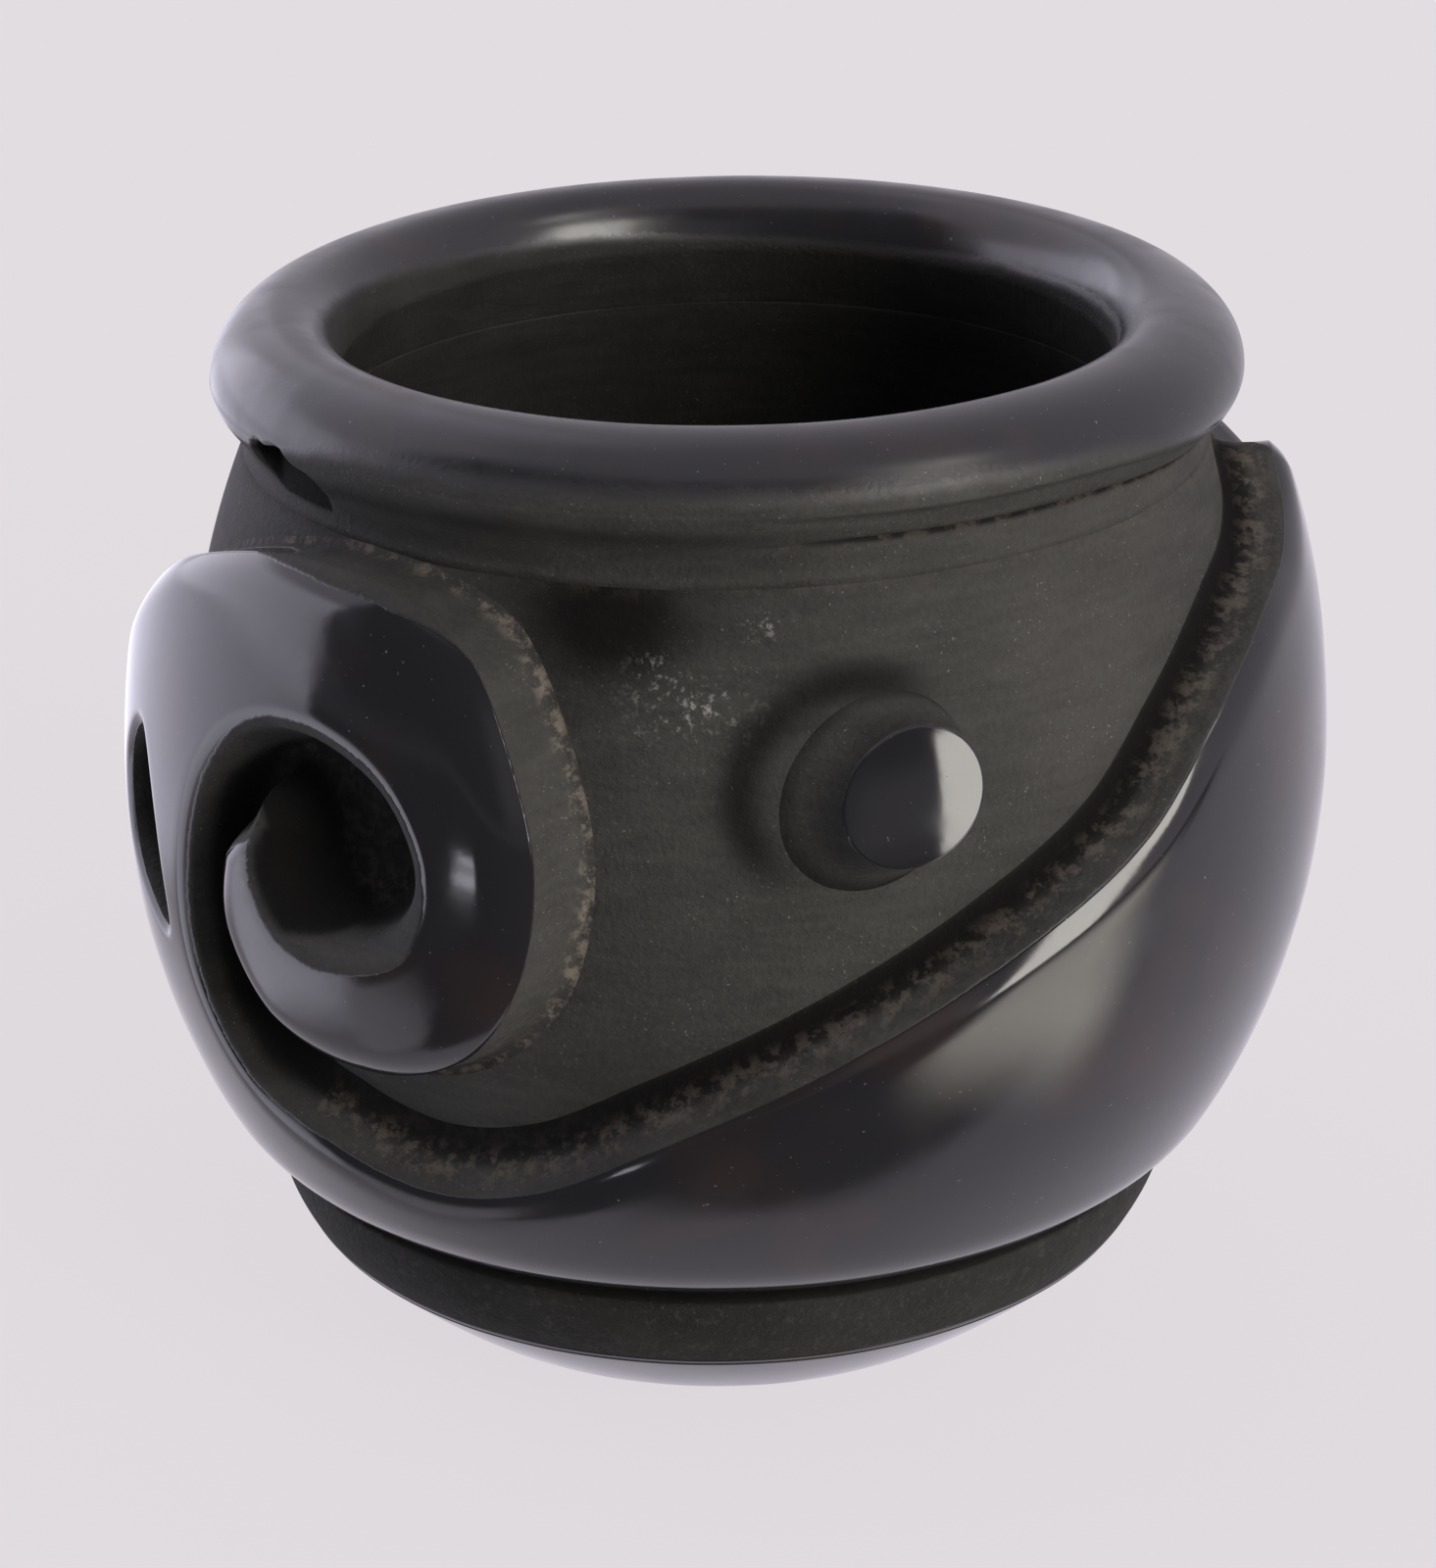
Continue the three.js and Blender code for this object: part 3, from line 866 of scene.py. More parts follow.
@dataclass
class BasePat(TurnedPiece):
    """The burnished base with its rounded side and the flat face that the bowl stands on."""

    name: str = "base_foot"
    nodes: tuple[str, ...] = ("base_pat",)
    foot_radius: float = 23.2
    top: tuple[float, float] = (31.2, 6.9)
    bulge: float = 0.35
    heel: float = 0.7

    def profile(self) -> Profile:
        """Flat foot, rounded heel, bulging side and top."""
        foot = (self.foot_radius, 0.0)
        middle = (np.array(foot) + np.array(self.top)) / 2 + (self.bulge, -self.bulge)
        side = bow(foot, middle, self.top, 26)
        stand = (self.foot_radius - self.heel, 0.0)
        shelf = (self.top[0] - self.heel, self.top[1])
        return [
            *line((0.0, 0.0), stand, 20),
            *bow(stand, foot, side[3], 5)[:-1],
            *side[3:-2],
            *bow(side[-3], self.top, shelf, 5),
            *line(shelf, (0.0, self.top[1]), 12)[1:],
            (0.0, self.top[1]),
        ]

    def masks(self, points: Floats) -> Masks:
        """Burnished, worn matt on the ring that it stands on."""
        worn = 1.0 - ease(points[:, 2], 0.05, 0.6)
        ring = ease(reach_of(points), self.foot_radius - 4.0, self.foot_radius - 2.0)
        return {Mask.POLISH: 1.0 - worn * ring}


# Carved waves


@dataclass(frozen=True)
class EdgeCut:
    """How the knife and the stone left an edge.

    The burnished face rolls over and drops to the edge, and the cut spreads from there to the ground.
    Shade_and_stain says how strong the painted shade at the cut's foot is, dark_from at which share of the cut that
    painted shade starts, shade how far it runs on over the ground, burnish how far the stone went over the edge and
    bare how far it stayed away from it.
    """

    roll: float
    drop: float
    draft: float
    dark: float
    dark_from: float = 0.2
    shade: float = 0.5
    burnish: float = 0.0
    bare: float = 0.0


# The strongest painted shade goes into the channel, the eye, its pit and the slits.
SHOULDER = EdgeCut(roll=2.8, drop=1.0, draft=1.0, dark=0.35, burnish=0.9)
CREST = EdgeCut(roll=2.8, drop=1.0, draft=1.4, dark=0.2, bare=1.0)
FLANK = EdgeCut(roll=3.6, drop=0.9, draft=2.0, dark=0.0)
UNDERSIDE = EdgeCut(roll=2.6, drop=1.0, draft=1.6, dark=0.6, shade=1.5, burnish=0.4)
CURL = EdgeCut(roll=1.6, drop=0.6, draft=1.1, dark=1.0, dark_from=0.0, shade=4.0)
TIP = EdgeCut(roll=2.4, drop=2.0, draft=1.2, dark=1.0, dark_from=-0.9, shade=6.0, bare=1.8)
SLOPE = EdgeCut(roll=3.1, drop=2.2, draft=2.4, dark=0.95, dark_from=-0.9, shade=6.0, bare=2.8)
PIT = EdgeCut(roll=2.2, drop=1.2, draft=1.5, dark=0.9, dark_from=0.0, shade=6.0, bare=2.0)
EYE = EdgeCut(roll=1.4, drop=0.6, draft=1.1, dark=0.9, dark_from=0.45, shade=6.0, bare=0.7)
STEM = EdgeCut(roll=1.6, drop=0.7, draft=1.0, dark=1.0, dark_from=0.0, shade=4.0, bare=0.35)
SWEEP = EdgeCut(roll=2.2, drop=0.8, draft=1.7, dark=0.95, shade=1.2)
BAND = EdgeCut(roll=2.2, drop=0.8, draft=1.8, dark=1.0, shade=0.8)
SLIT = EdgeCut(roll=1.0, drop=0.4, draft=0.9, dark=1.0, dark_from=0.0, shade=4.0)
CUT_SIZES = tuple(size.name for size in fields(EdgeCut))
Place = tuple[float, float, EdgeCut]


@dataclass
class EdgeTrace:
    """An edge as even samples on the unrolled belt, with the sizes of the cut at each."""

    BROAD_ROLL: ClassVar[float] = 2.7
    LEAST_BARE: ClassVar[float] = 0.02

    points: Floats
    inward: Floats
    step: float
    cut: dict[str, Floats]

    def _find(self, places: Floats, period: float, numbers: Floats) -> tuple[Floats, Floats]:
        """Number of the nearest of these samples to each place, on round the bowl too, and the way from it."""
        samples = np.vstack([self.points[numbers] + (shift, 0.0) for shift in (-period, 0.0, period)])
        tree = kdtree.KDTree(len(samples))
        for number, (along, up) in enumerate(samples):
            tree.insert((along, up, 0.0), number)
        tree.balance()
        found = np.array([tree.find((along, up, 0.0))[1] for along, up in places])
        return numbers[found % len(numbers)], places - samples[found]

    def broad_fall(self, places: Floats, period: float) -> Floats:
        """How far the face drops at places beside the broadly rolled stretches of the edge."""
        broad = np.flatnonzero(self.cut["roll"] > self.BROAD_ROLL)
        if not len(broad):
            return np.zeros(len(places))
        number, away = self._find(places, period, broad)
        share = np.hypot(away[:, 0], away[:, 1]) / self.cut["roll"][number]
        return self.cut["drop"][number] * np.clip(1.0 - share, 0.0, 1.0) ** 2

    def past_bare(self, places: Floats, period: float) -> Floats:
        """How far places lie past the strip along the edge that the stone stayed away from."""
        strip = np.flatnonzero(self.cut["bare"] > self.LEAST_BARE)
        if not len(strip):
            return np.full(len(places), np.inf)
        number, away = self._find(places, period, strip)
        return np.hypot(away[:, 0], away[:, 1]) - self.cut["bare"][number]

    def nearest(self, places: Floats, period: float) -> tuple[Floats, Floats, Floats]:
        """Finds the nearest sample of each place, on round the bowl too.

        Args:
            places: Flat places, one row each.
            period: Length of the belt once round.

        Returns:
            The distance to the edge, whether the place is on the relief's side, and the sample's number.
        """
        number, away = self._find(places, period, np.arange(len(self.points)))
        inward = self.inward[number]
        along = np.abs(away[:, 0] * inward[:, 1] - away[:, 1] * inward[:, 0])
        square = (away**2).sum(axis=1) - np.minimum(along, self.step / 2) ** 2
        return np.sqrt(np.maximum(square, 0.0)), (away * inward).sum(axis=1) >= 0.0, number


def trace_edge(form: BellyForm, drawn: Sequence[Place], lap: float, step: float, fineness: int = 60) -> EdgeTrace:
    """Draws a smooth closed line through the drawn places and samples it evenly.

    Args:
        form: The bowl's form.
        drawn: Degrees, share of the belt and cut of each place; the relief lies to the right of the way along.
        lap: Degrees that the line has gone round the bowl when it comes back to its first place.
        step: Distance between samples.
        fineness: Points of the smooth line from each drawn place to the next, before it is sampled.

    Returns:
        The sampled edge.
    """
    shift = np.array([math.radians(lap) * form.radius, 0.0])
    knots = np.array([form.on_belt(degrees, share) for degrees, share, _ in drawn])
    ends = np.vstack([knots[-1] - shift, knots, knots[:2] + shift])
    powers = np.linspace(0.0, 1.0, fineness, endpoint=False)[:, None]
    runs = []
    for p0, p1, p2, p3 in zip(ends, ends[1:], ends[2:], ends[3:]):
        d0, d1, d2 = (math.sqrt(np.linalg.norm(b - a)) for a, b in ((p0, p1), (p1, p2), (p2, p3)))
        leave = ((p1 - p0) / d0 - (p2 - p0) / (d0 + d1) + (p2 - p1) / d1) * d1
        arrive = ((p2 - p1) / d1 - (p3 - p1) / (d1 + d2) + (p3 - p2) / d2) * d1
        bend = 2 * p1 - 2 * p2 + leave + arrive
        sway = -3 * p1 + 3 * p2 - 2 * leave - arrive
        runs.append(bend * powers**3 + sway * powers**2 + leave * powers + p1)
    fine = np.vstack([*runs, knots[:1] + shift])
    gone = np.concatenate([[0.0], np.cumsum(np.linalg.norm(np.diff(fine, axis=0), axis=1))])
    stations = np.linspace(0.0, gone[-1], round(gone[-1] / step), endpoint=False)
    points = np.stack([np.interp(stations, gone, fine[:, axis]) for axis in (0, 1)], axis=-1)
    ahead = np.vstack([points[1:], points[:1] + shift]) - np.vstack([points[-1:] - shift, points[:-1]])
    ahead /= np.linalg.norm(ahead, axis=1)[:, None]
    place = np.interp(stations, gone, np.arange(len(fine)) / fineness)
    cuts = [cut for _, _, cut in (*drawn, drawn[0])]
    sizes = {
        key: np.interp(place, np.arange(len(cuts)), [getattr(cut, key) for cut in cuts]) for key in CUT_SIZES
    }
    return EdgeTrace(points, np.stack([ahead[:, 1], -ahead[:, 0]], axis=-1), step, sizes)


@dataclass(frozen=True)
class WaveEnds:
    """Where one wave differs from the other: the shoulder before its crest and the climb after its band."""

    shoulder: tuple[Place, ...]
    climb: tuple[Place, ...]


@dataclass(frozen=True)
class Carved:
    """The carved surface at some flat places.

    Attributes:
        depth: Depth below the belly's face.
        signed: Distance to the nearest edge, positive on the relief.
        foot: Distance from the nearest edge to the foot of its cut.
        cut: The sizes of the nearest edge's cut.
    """

    depth: Floats
    signed: Floats
    foot: Floats
    cut: dict[str, Floats]


@dataclass
class WaveRelief:
    """The belt of carved waves: the scroll with its eye, the stem with its slit and the rising band."""

    form: BellyForm
    hand: HandWork
    name: str = "carved_waves"
    nodes: tuple[str, ...] = ("front_wave_relief", "back_wave_relief")
    half_turn: float = 180.0
    seam: float = -82.0
    crest: tuple[Place, ...] = (
        (-55, 0.975, SHOULDER), (-43, 0.992, CREST), (-33, 0.98, CREST), (-25, 0.927, FLANK),
        (-19.8, 0.811, FLANK), (-17.1, 0.663, FLANK), (-19.1, 0.503, FLANK), (-25.6, 0.387, UNDERSIDE),
        (-35.5, 0.345, UNDERSIDE), (-46.5, 0.383, CURL), (-52.2, 0.491, CURL), (-51.8, 0.591, CURL),
        (-49.3, 0.655, TIP),
    )
    eye: tuple[Place, ...] = (
        (-46.9, 0.70, TIP), (-44.4, 0.662, TIP), (-44.2, 0.605, SLOPE), (-41.8, 0.556, SLOPE),
        (-36.6, 0.535, PIT), (-31, 0.567, PIT), (-28.4, 0.645, EYE), (-32, 0.74, EYE), (-40, 0.787, EYE),
    )
    band: tuple[Place, ...] = (
        (-48.5, 0.771, EYE), (-55, 0.682, STEM), (-58.2, 0.527, STEM), (-58, 0.377, STEM), (-53, 0.258, STEM),
        (-43.5, 0.197, SWEEP), (-31, 0.166, SWEEP), (-19, 0.203, SWEEP), (-6, 0.302, BAND), (10, 0.422, BAND),
        (26, 0.541, BAND),
    )
    ends: tuple[WaveEnds, ...] = (
        WaveEnds(
            shoulder=((-82, 0.81, SHOULDER), (-76, 0.865, SHOULDER), (-69, 0.916, SHOULDER)),
            climb=(
                (40, 0.645, BAND), (50, 0.751, BAND), (62, 0.842, BAND), (73, 0.887, BAND), (79.5, 0.931, BAND),
                (83, 0.98, SWEEP), (88, 0.972, SHOULDER),
            ),
        ),
        WaveEnds(
            shoulder=((-82, 0.882, SHOULDER), (-69, 0.906, SHOULDER)),
            climb=((40, 0.586, BAND), (55, 0.606, BAND), (70, 0.63, BAND), (80, 0.66, SWEEP), (88, 0.719, SHOULDER)),
        ),
    )
    slit: tuple[Place, ...] = (
        (-71, 0.672, SLIT), (-76.6, 0.6, SLIT), (-75.6, 0.487, SLIT), (-65, 0.418, SLIT), (-65.8, 0.55, SLIT),
    )
    foot_roll: float = 4.6
    foot_drop: float = 1.7
    step: float = 0.34
    face_levels: tuple[float, ...] = (0.0, 0.2, 0.45, 0.8, 1.2, 1.7, 2.3, 3.0, 3.8)
    wall_levels: tuple[float, ...] = (0.12, 0.28, 0.46, 0.65, 0.8, 0.92, 1.0)
    margins: tuple[float, ...] = (0.6, 1.5)
    foot_rows: tuple[float, ...] = (0.0, 0.2, 0.45, 0.8, 1.25, 1.8, 2.5, 3.3, 4.2)
    fill: float = 0.85
    blend: float = 0.4
    feather: float = 0.05
    plunge: float = 0.2
    sunk: float = 0.6
    draft_share: float = 1.3
    cut_bow: float = 1.6
    open_shade: float = 2.0
    hollow_shade: float = 3.0
    deep_shade: float = 5.0
    hollow_reach: float = 8.0
    row_share: float = 0.866
    level_slack: float = 0.06
    closest: float = 0.12
    foot_step: float = 0.7
    overlap: float = 8.0
    stir: float = 0.002
    seed: int = 7
    edges: list[EdgeTrace] = field(default_factory=list)

    def __post_init__(self) -> None:
        """Traces the one edge that runs round the bowl through both waves, and the slits."""
        outline = []
        for number, wave in enumerate(self.ends):
            here = self.half_turn * number
            outline += self._moved((*wave.shoulder, *self.crest, *self.eye, *self.band, *wave.climb), here)
            self.edges.append(trace_edge(self.form, self._moved(self.slit, here), 0.0, self.step))
        self.edges.append(trace_edge(self.form, outline, 360.0, self.step))

    @staticmethod
    def _moved(drawn: Sequence[Place], degrees: float) -> list[Place]:
        """The drawn places, turned on round the bowl."""
        return [(turn + degrees, share, cut) for turn, share, cut in drawn]

    @property
    def period(self) -> float:
        """Length of the belt once round."""
        return math.tau * self.form.radius

    @property
    def left(self) -> float:
        """Where the unrolled belt starts."""
        return self.form.on_belt(self.seam, 0.0)[0]

    def carved(self, places: Floats) -> Carved:
        """The carved surface at flat places, one row each."""
        carve = self.form.carve - self.feather
        over_foot = (places[:, 1] - self.form.belt_foot) / self.foot_roll
        face = self.foot_drop * np.clip(1.0 - over_foot, 0.0, 1.0) ** 2
        wall = np.full(len(places), carve)
        signed, foot = np.full(len(places), np.inf), np.ones(len(places))
        cut = {key: np.zeros(len(places)) for key in CUT_SIZES}
        for edge in self.edges:
            away, on_relief, number = edge.nearest(places, self.period)
            here = {key: values[number] for key, values in edge.cut.items()}
            drop, draft = here["drop"], self.draft_share * here["draft"]
            fall = drop * np.clip(1.0 - away / here["roll"], 0.0, 1.0) ** 2
            fall = np.maximum(fall, edge.broad_fall(places, self.period))
            near = np.maximum(self.blend - np.abs(face - fall), 0.0) / self.blend
            face = np.maximum(face, fall) + near * near * self.blend / 4 * np.minimum(fall, 1.0)
            spread = 1.0 - np.clip(1.0 - away / draft, 0.0, 1.0) ** self.cut_bow
            wall = np.minimum(wall, drop + (carve - drop) * spread)
            closer = away < np.abs(signed)
            signed = np.where(closer, np.where(on_relief, away, -away), signed)
            foot = np.where(closer, draft, foot)
            cut = {key: np.where(closer, here[key], known) for key, known in cut.items()}
        hollow = ease(cut["shade"], self.open_shade, self.hollow_shade)
        wall += self.plunge * ease(-signed - foot, 0.0, self.margins[-1]) * (1.0 - hollow)
        return Carved(np.where(signed >= 0.0, np.minimum(face, carve), wall), signed, foot, cut)

    def _edge_lines(self) -> tuple[Floats, Floats]:
        """Lines of places along every edge, on the face, down the cut and on the ground.

        Returns:
            The flat places, and a mark for those where the relief ends on the ground.
        """
        places, wanted, rim = [], [], []
        for edge in self.edges:
            draft = edge.cut["draft"]
            levels = [np.full(len(edge.points), level) for level in self.face_levels]
            levels += [-self.draft_share * level * draft for level in self.wall_levels]
            levels += [-self.draft_share * draft - margin for margin in self.margins]
            for number, level in enumerate(levels):
                places.append(edge.points + edge.inward * level[:, None])
                wanted.append(level)
                rim.append((number == len(levels) - 1) & (edge.cut["shade"] < self.hollow_shade))
        places, wanted, rim = np.vstack(places), np.concatenate(wanted), np.concatenate(rim)
        true = np.abs(self.carved(places).signed - wanted) < self.level_slack
        return places[true], rim[true]

    def _filling(self) -> Floats:
        """Even rows of flat places on the broad face and in the hollows, clear of the edge lines."""
        foot, row = self.form.belt_foot, self.fill * self.row_share
        columns, rows = round(self.period / self.fill), round((self.form.neck - foot) / row)
        grid = np.stack(np.meshgrid(np.arange(columns), np.arange(rows)), axis=-1).reshape(-1, 2).astype(float)
        grid[:, 0] = (grid[:, 0] + 0.5 * (grid[:, 1] % 2)) * self.period / columns + self.left
        grid[:, 1] = grid[:, 1] * row + foot + self.foot_rows[-1] + self.fill
        there = self.carved(grid)
        face = there.signed > self.face_levels[-1] + 0.5 * self.fill
        hollow = there.signed < -there.foot - self.margins[-1] - 0.4 * self.fill
        hollow &= (there.cut["shade"] > self.hollow_shade) & (there.signed > -self.hollow_reach)
        return grid[face | hollow]

    def _scatter(self) -> tuple[Floats, Floats, Floats]:
        """Lays out the points of the belt: rows at its foot, lines along every edge and an even fill between.

        Returns:
            The flat places, a mark for those where the relief ends on the ground, and one for the belt's foot.
        """
        foot, steps = self.form.belt_foot, round(self.period / self.foot_step)
        across = np.linspace(self.left, self.left + self.period, steps, endpoint=False)
        under = np.vstack([np.stack([across, np.full(steps, foot + up)], axis=-1) for up in self.foot_rows])
        lines, ends = self._edge_lines()
        filling = self._filling()
        places = np.vstack([under, lines, filling])
        rim = np.concatenate([np.zeros(len(under), bool), ends, np.zeros(len(filling), bool)])
        places[:, 0] = (places[:, 0] - self.left) % self.period + self.left
        cells = np.round(places / self.closest).astype(int)
        first = np.sort(np.unique(cells, axis=0, return_index=True)[1])
        first = first[places[first, 1] >= foot]
        places, rim = places[first], rim[first]
        low = places[:, 1] == foot
        stir = np.random.default_rng(self.seed).uniform(-self.stir, self.stir, places.shape)
        stir[low, 1] = 0.0
        return places + stir, rim, low

    def _weave(self, places: Floats, rim: Floats, low: Floats) -> Floats:
        """Triangulates the belt so that it closes on itself.

        Args:
            places: Flat places of the belt.
            rim: Mark of the places where the relief ends on the ground.
            low: Mark of the places on the belt's foot.

        Returns:
            Corner numbers of the triangles.
        """
        number = np.arange(len(places))
        before = number[places[:, 0] > self.left + self.period - self.overlap]
        after = number[places[:, 0] < self.left + self.overlap]
        shift = np.array([self.period, 0.0])
        spread = np.vstack([places, places[before] - shift, places[after] + shift])
        source = np.concatenate([number, before, after])
        triangles = np.array(geometry.delaunay_2d_cdt([Vector(p) for p in spread], [], [], 0, 1e-7, False)[2])
        middle = spread[triangles][:, :, 0].mean(axis=1)
        kept = source[triangles[(middle >= self.left) & (middle < self.left + self.period)]]
        return kept[~rim[kept].all(axis=1) & ~low[kept].all(axis=1)]

    def build(self, tree: ShapeTree, finish: bpy.types.Material) -> bpy.types.Object:
        """Carves the belt, works it by hand and says what it stands for.

        Args:
            tree: The carving tree.
            finish: The material of the relief.

        Returns:
            The finished piece.
        """
        places, rim, low = self._scatter()
        used, corners = np.unique(self._weave(places, rim, low), return_inverse=True)
        corners = corners.reshape(-1, 3)
        flat, low = places[used], low[used]
        there = self.carved(flat)
        total = len(flat)
        face = self.form.bend(flat[:, 0], flat[:, 1], there.depth)
        back = self.form.bend(flat[:, 0], flat[:, 1], np.full(total, self.form.carve + self.sunk))
        back[low, 2] = face[low, 2]
        ways = np.vstack([corners[:, [0, 1]], corners[:, [1, 2]], corners[:, [2, 0]]])
        _, first, times = np.unique(np.sort(ways, axis=1), axis=0, return_index=True, return_counts=True)
        skirt = [(b, a, a + total, b + total) for a, b in ways[first[times == 1]]]
        faces = np.vstack([corners, corners[:, ::-1] + total]).tolist() + skirt
        piece = new_piece(self.name, np.vstack([face, back]), faces)
        tree.run(piece, {**self.hand.values(), "Finish": finish})
        set_points(piece, self.form.leant(points_of(piece)))
        masks = {kind: np.concatenate([v, np.zeros(total)]) for kind, v in self._masks(flat, there).items()}
        return finish_piece(piece, masks, self.nodes)

    def _masks(self, flat: Floats, there: Carved) -> Masks:
        """What the carved face tells the finish: burnished to its edges, with painted shade and residue in the cuts.
        """
        cut = there.cut
        down = -(there.signed + cut["burnish"]) / (there.foot - cut["burnish"])
        past = -there.signed - there.foot
        # Painted shade from a share of the way down the cut, running on over the ground past its foot.
        shaded = ease(down, cut["dark_from"], cut["dark_from"] + 0.4)
        shaded *= 1.0 - ease(past, cut["shade"] - 0.6, cut["shade"] + 0.4)
        settled = ease(down, 0.6, 1.0) * (1.0 - ease(past, 0.2, 1.2)) * (1.0 - cut["dark"])
        caked = ease(down, 0.05, 0.3) * (1.0 - ease(down, 0.4, 0.8)) * cut["dark"]
        dregs = 0.05 * ease(past, -0.4, 0.6) * (cut["shade"] > self.deep_shade)
        reached = np.minimum.reduce([edge.past_bare(flat, self.period) for edge in self.edges])
        return {
            Mask.POLISH: ease(there.signed + cut["burnish"], -0.25, 0.3) * ease(reached, -0.7, 0.7),
            # Painted shade in the cuts; the residue masks are real dirt.
            Mask.DARK: shaded * cut["dark"],
            Mask.RESIDUE: settled + 0.4 * caked * (cut["shade"] < self.open_shade) + dregs,
        }


# Bosses


@dataclass
class OvalBoss:
    """The oval boss in the open ground above each band: a burnished top on a flared matt side."""

    form: BellyForm
    hand: HandWork
    name: str = "oval_bosses"
    nodes: tuple[str, ...] = ("front_boss", "back_boss")
    count: int = 2
    turn: float = 16.5
    share: float = 0.763
    length: float = 10.0
    width: float = 8.0
    tilt: float = 32.0
    rise: float = 3.2
    crown: float = 0.3
    flare: float = 3.1
    foot_lean: float = 2.6
    bedded: float = 0.2
    upward: float = 12.0
    sideways: float = 7.0
    sunk: float = 0.6
    segments: int = 144
    top_rings: int = 24
    first_ring: float = 0.04
    side_rings: int = 19
    side_bow: float = 2.0
    side_spread: float = 1.15
    skirt: float = 0.1

    def _rows(self) -> list[tuple[float, float, float, float]]:
        """Rings from the top's middle to the foot.

        Returns:
            For each ring its size beside the top's oval, how far it lies outside that oval, its height over the
            ground and its share of the way down the side.
        """
        rows = []
        for share in np.linspace(self.first_ring, 1.0, self.top_rings):
            rows.append((share, 0.0, self.rise + self.crown * (1.0 - share * share), 0.0))
        top = rows[-1][2]
        for share in np.linspace(0.0, 1.0, self.side_rings + 1)[1:]:
            height = top * (1.0 - share) ** self.side_bow - self.bedded * share
            rows.append((1.0, self.flare * share**self.side_spread, height, share))
        return [*rows, (1.0, self.flare + self.skirt, -self.sunk, 1.0)]

    def _faces(self, rings: int) -> list[tuple[int, ...]]:
        """Faces between that many rings, and the fans that close them at the two poles after the rings."""
        ring, last = self.segments, (rings - 1) * self.segments
        ahead = np.roll(np.arange(ring), -1)
        faces = [
            (row * ring + k, (row + 1) * ring + k, (row + 1) * ring + n, row * ring + n)
            for row in range(rings - 1)
            for k, n in enumerate(ahead)
        ]
        faces += [(last + ring, k, n) for k, n in enumerate(ahead)]
        return faces + [(last + ring + 1, last + n, last + k) for k, n in enumerate(ahead)]

    def build(self, tree: ShapeTree, finish: bpy.types.Material) -> bpy.types.Object:
        """Shapes one boss, repeats it round the bowl and says what it stands for.

        Args:
            tree: The repeating tree.
            finish: The material of the bosses.

        Returns:
            The finished piece.
        """
        angles = np.linspace(0.0, math.tau, self.segments, endpoint=False)
        tilt = math.radians(self.tilt)
        along, up = self.form.on_belt(self.turn, self.share)
        rings, down = [], []
        for size, out, height, share in self._rows():
            x = (size * self.length / 2 + out) * np.cos(angles)
            y = (size * self.width / 2 + out) * np.sin(angles)
            flat_x = x * math.cos(tilt) - y * math.sin(tilt) + along - self.foot_lean * share * share
            flat_y = x * math.sin(tilt) + y * math.cos(tilt) + up
            sunk = math.tan(math.radians(self.upward)) * (flat_y - up)
            sunk -= math.tan(math.radians(self.sideways)) * (flat_x - along)
            sunk *= (1.0 - share) ** 2
            rings.append(self.form.bend(flat_x, flat_y, self.form.carve - height + sunk))
            down.append(np.full(len(angles), share))
        poles = self.form.bend(
            np.full(2, along),
            np.full(2, up),
            np.array([self.form.carve - self.rise - self.crown, self.form.carve + self.sunk]),
        )
        piece = new_piece(self.name, np.vstack([*rings, poles]), self._faces(len(rings)))
        tree.run(piece, {"Count": self.count, **self.hand.values(), "Finish": finish})
        set_points(piece, self.form.leant(points_of(piece)))
        side = np.tile(np.concatenate([*down, [0.0, 1.0]]), self.count)
        masks = {
            Mask.POLISH: 1.0 - ease(side, 0.0, 0.05),
            # Painted shade down the boss's flared side, towards its foot.
            Mask.DARK: 0.75 * ease(side, 0.4, 0.85),
        }
        return finish_piece(piece, masks, self.nodes)


# Studio


@dataclass(frozen=True)
class RoomPart:
    """A part of the room as the bowl mirrors it: degrees round from the camera's side, degrees up and light."""

    turn: tuple[float, float]
    rise: tuple[float, float]
    colour: Colour
    side_blur: float
    rise_blur: float


FRONT_DARK: Colour = (0.14, 0.135, 0.145)


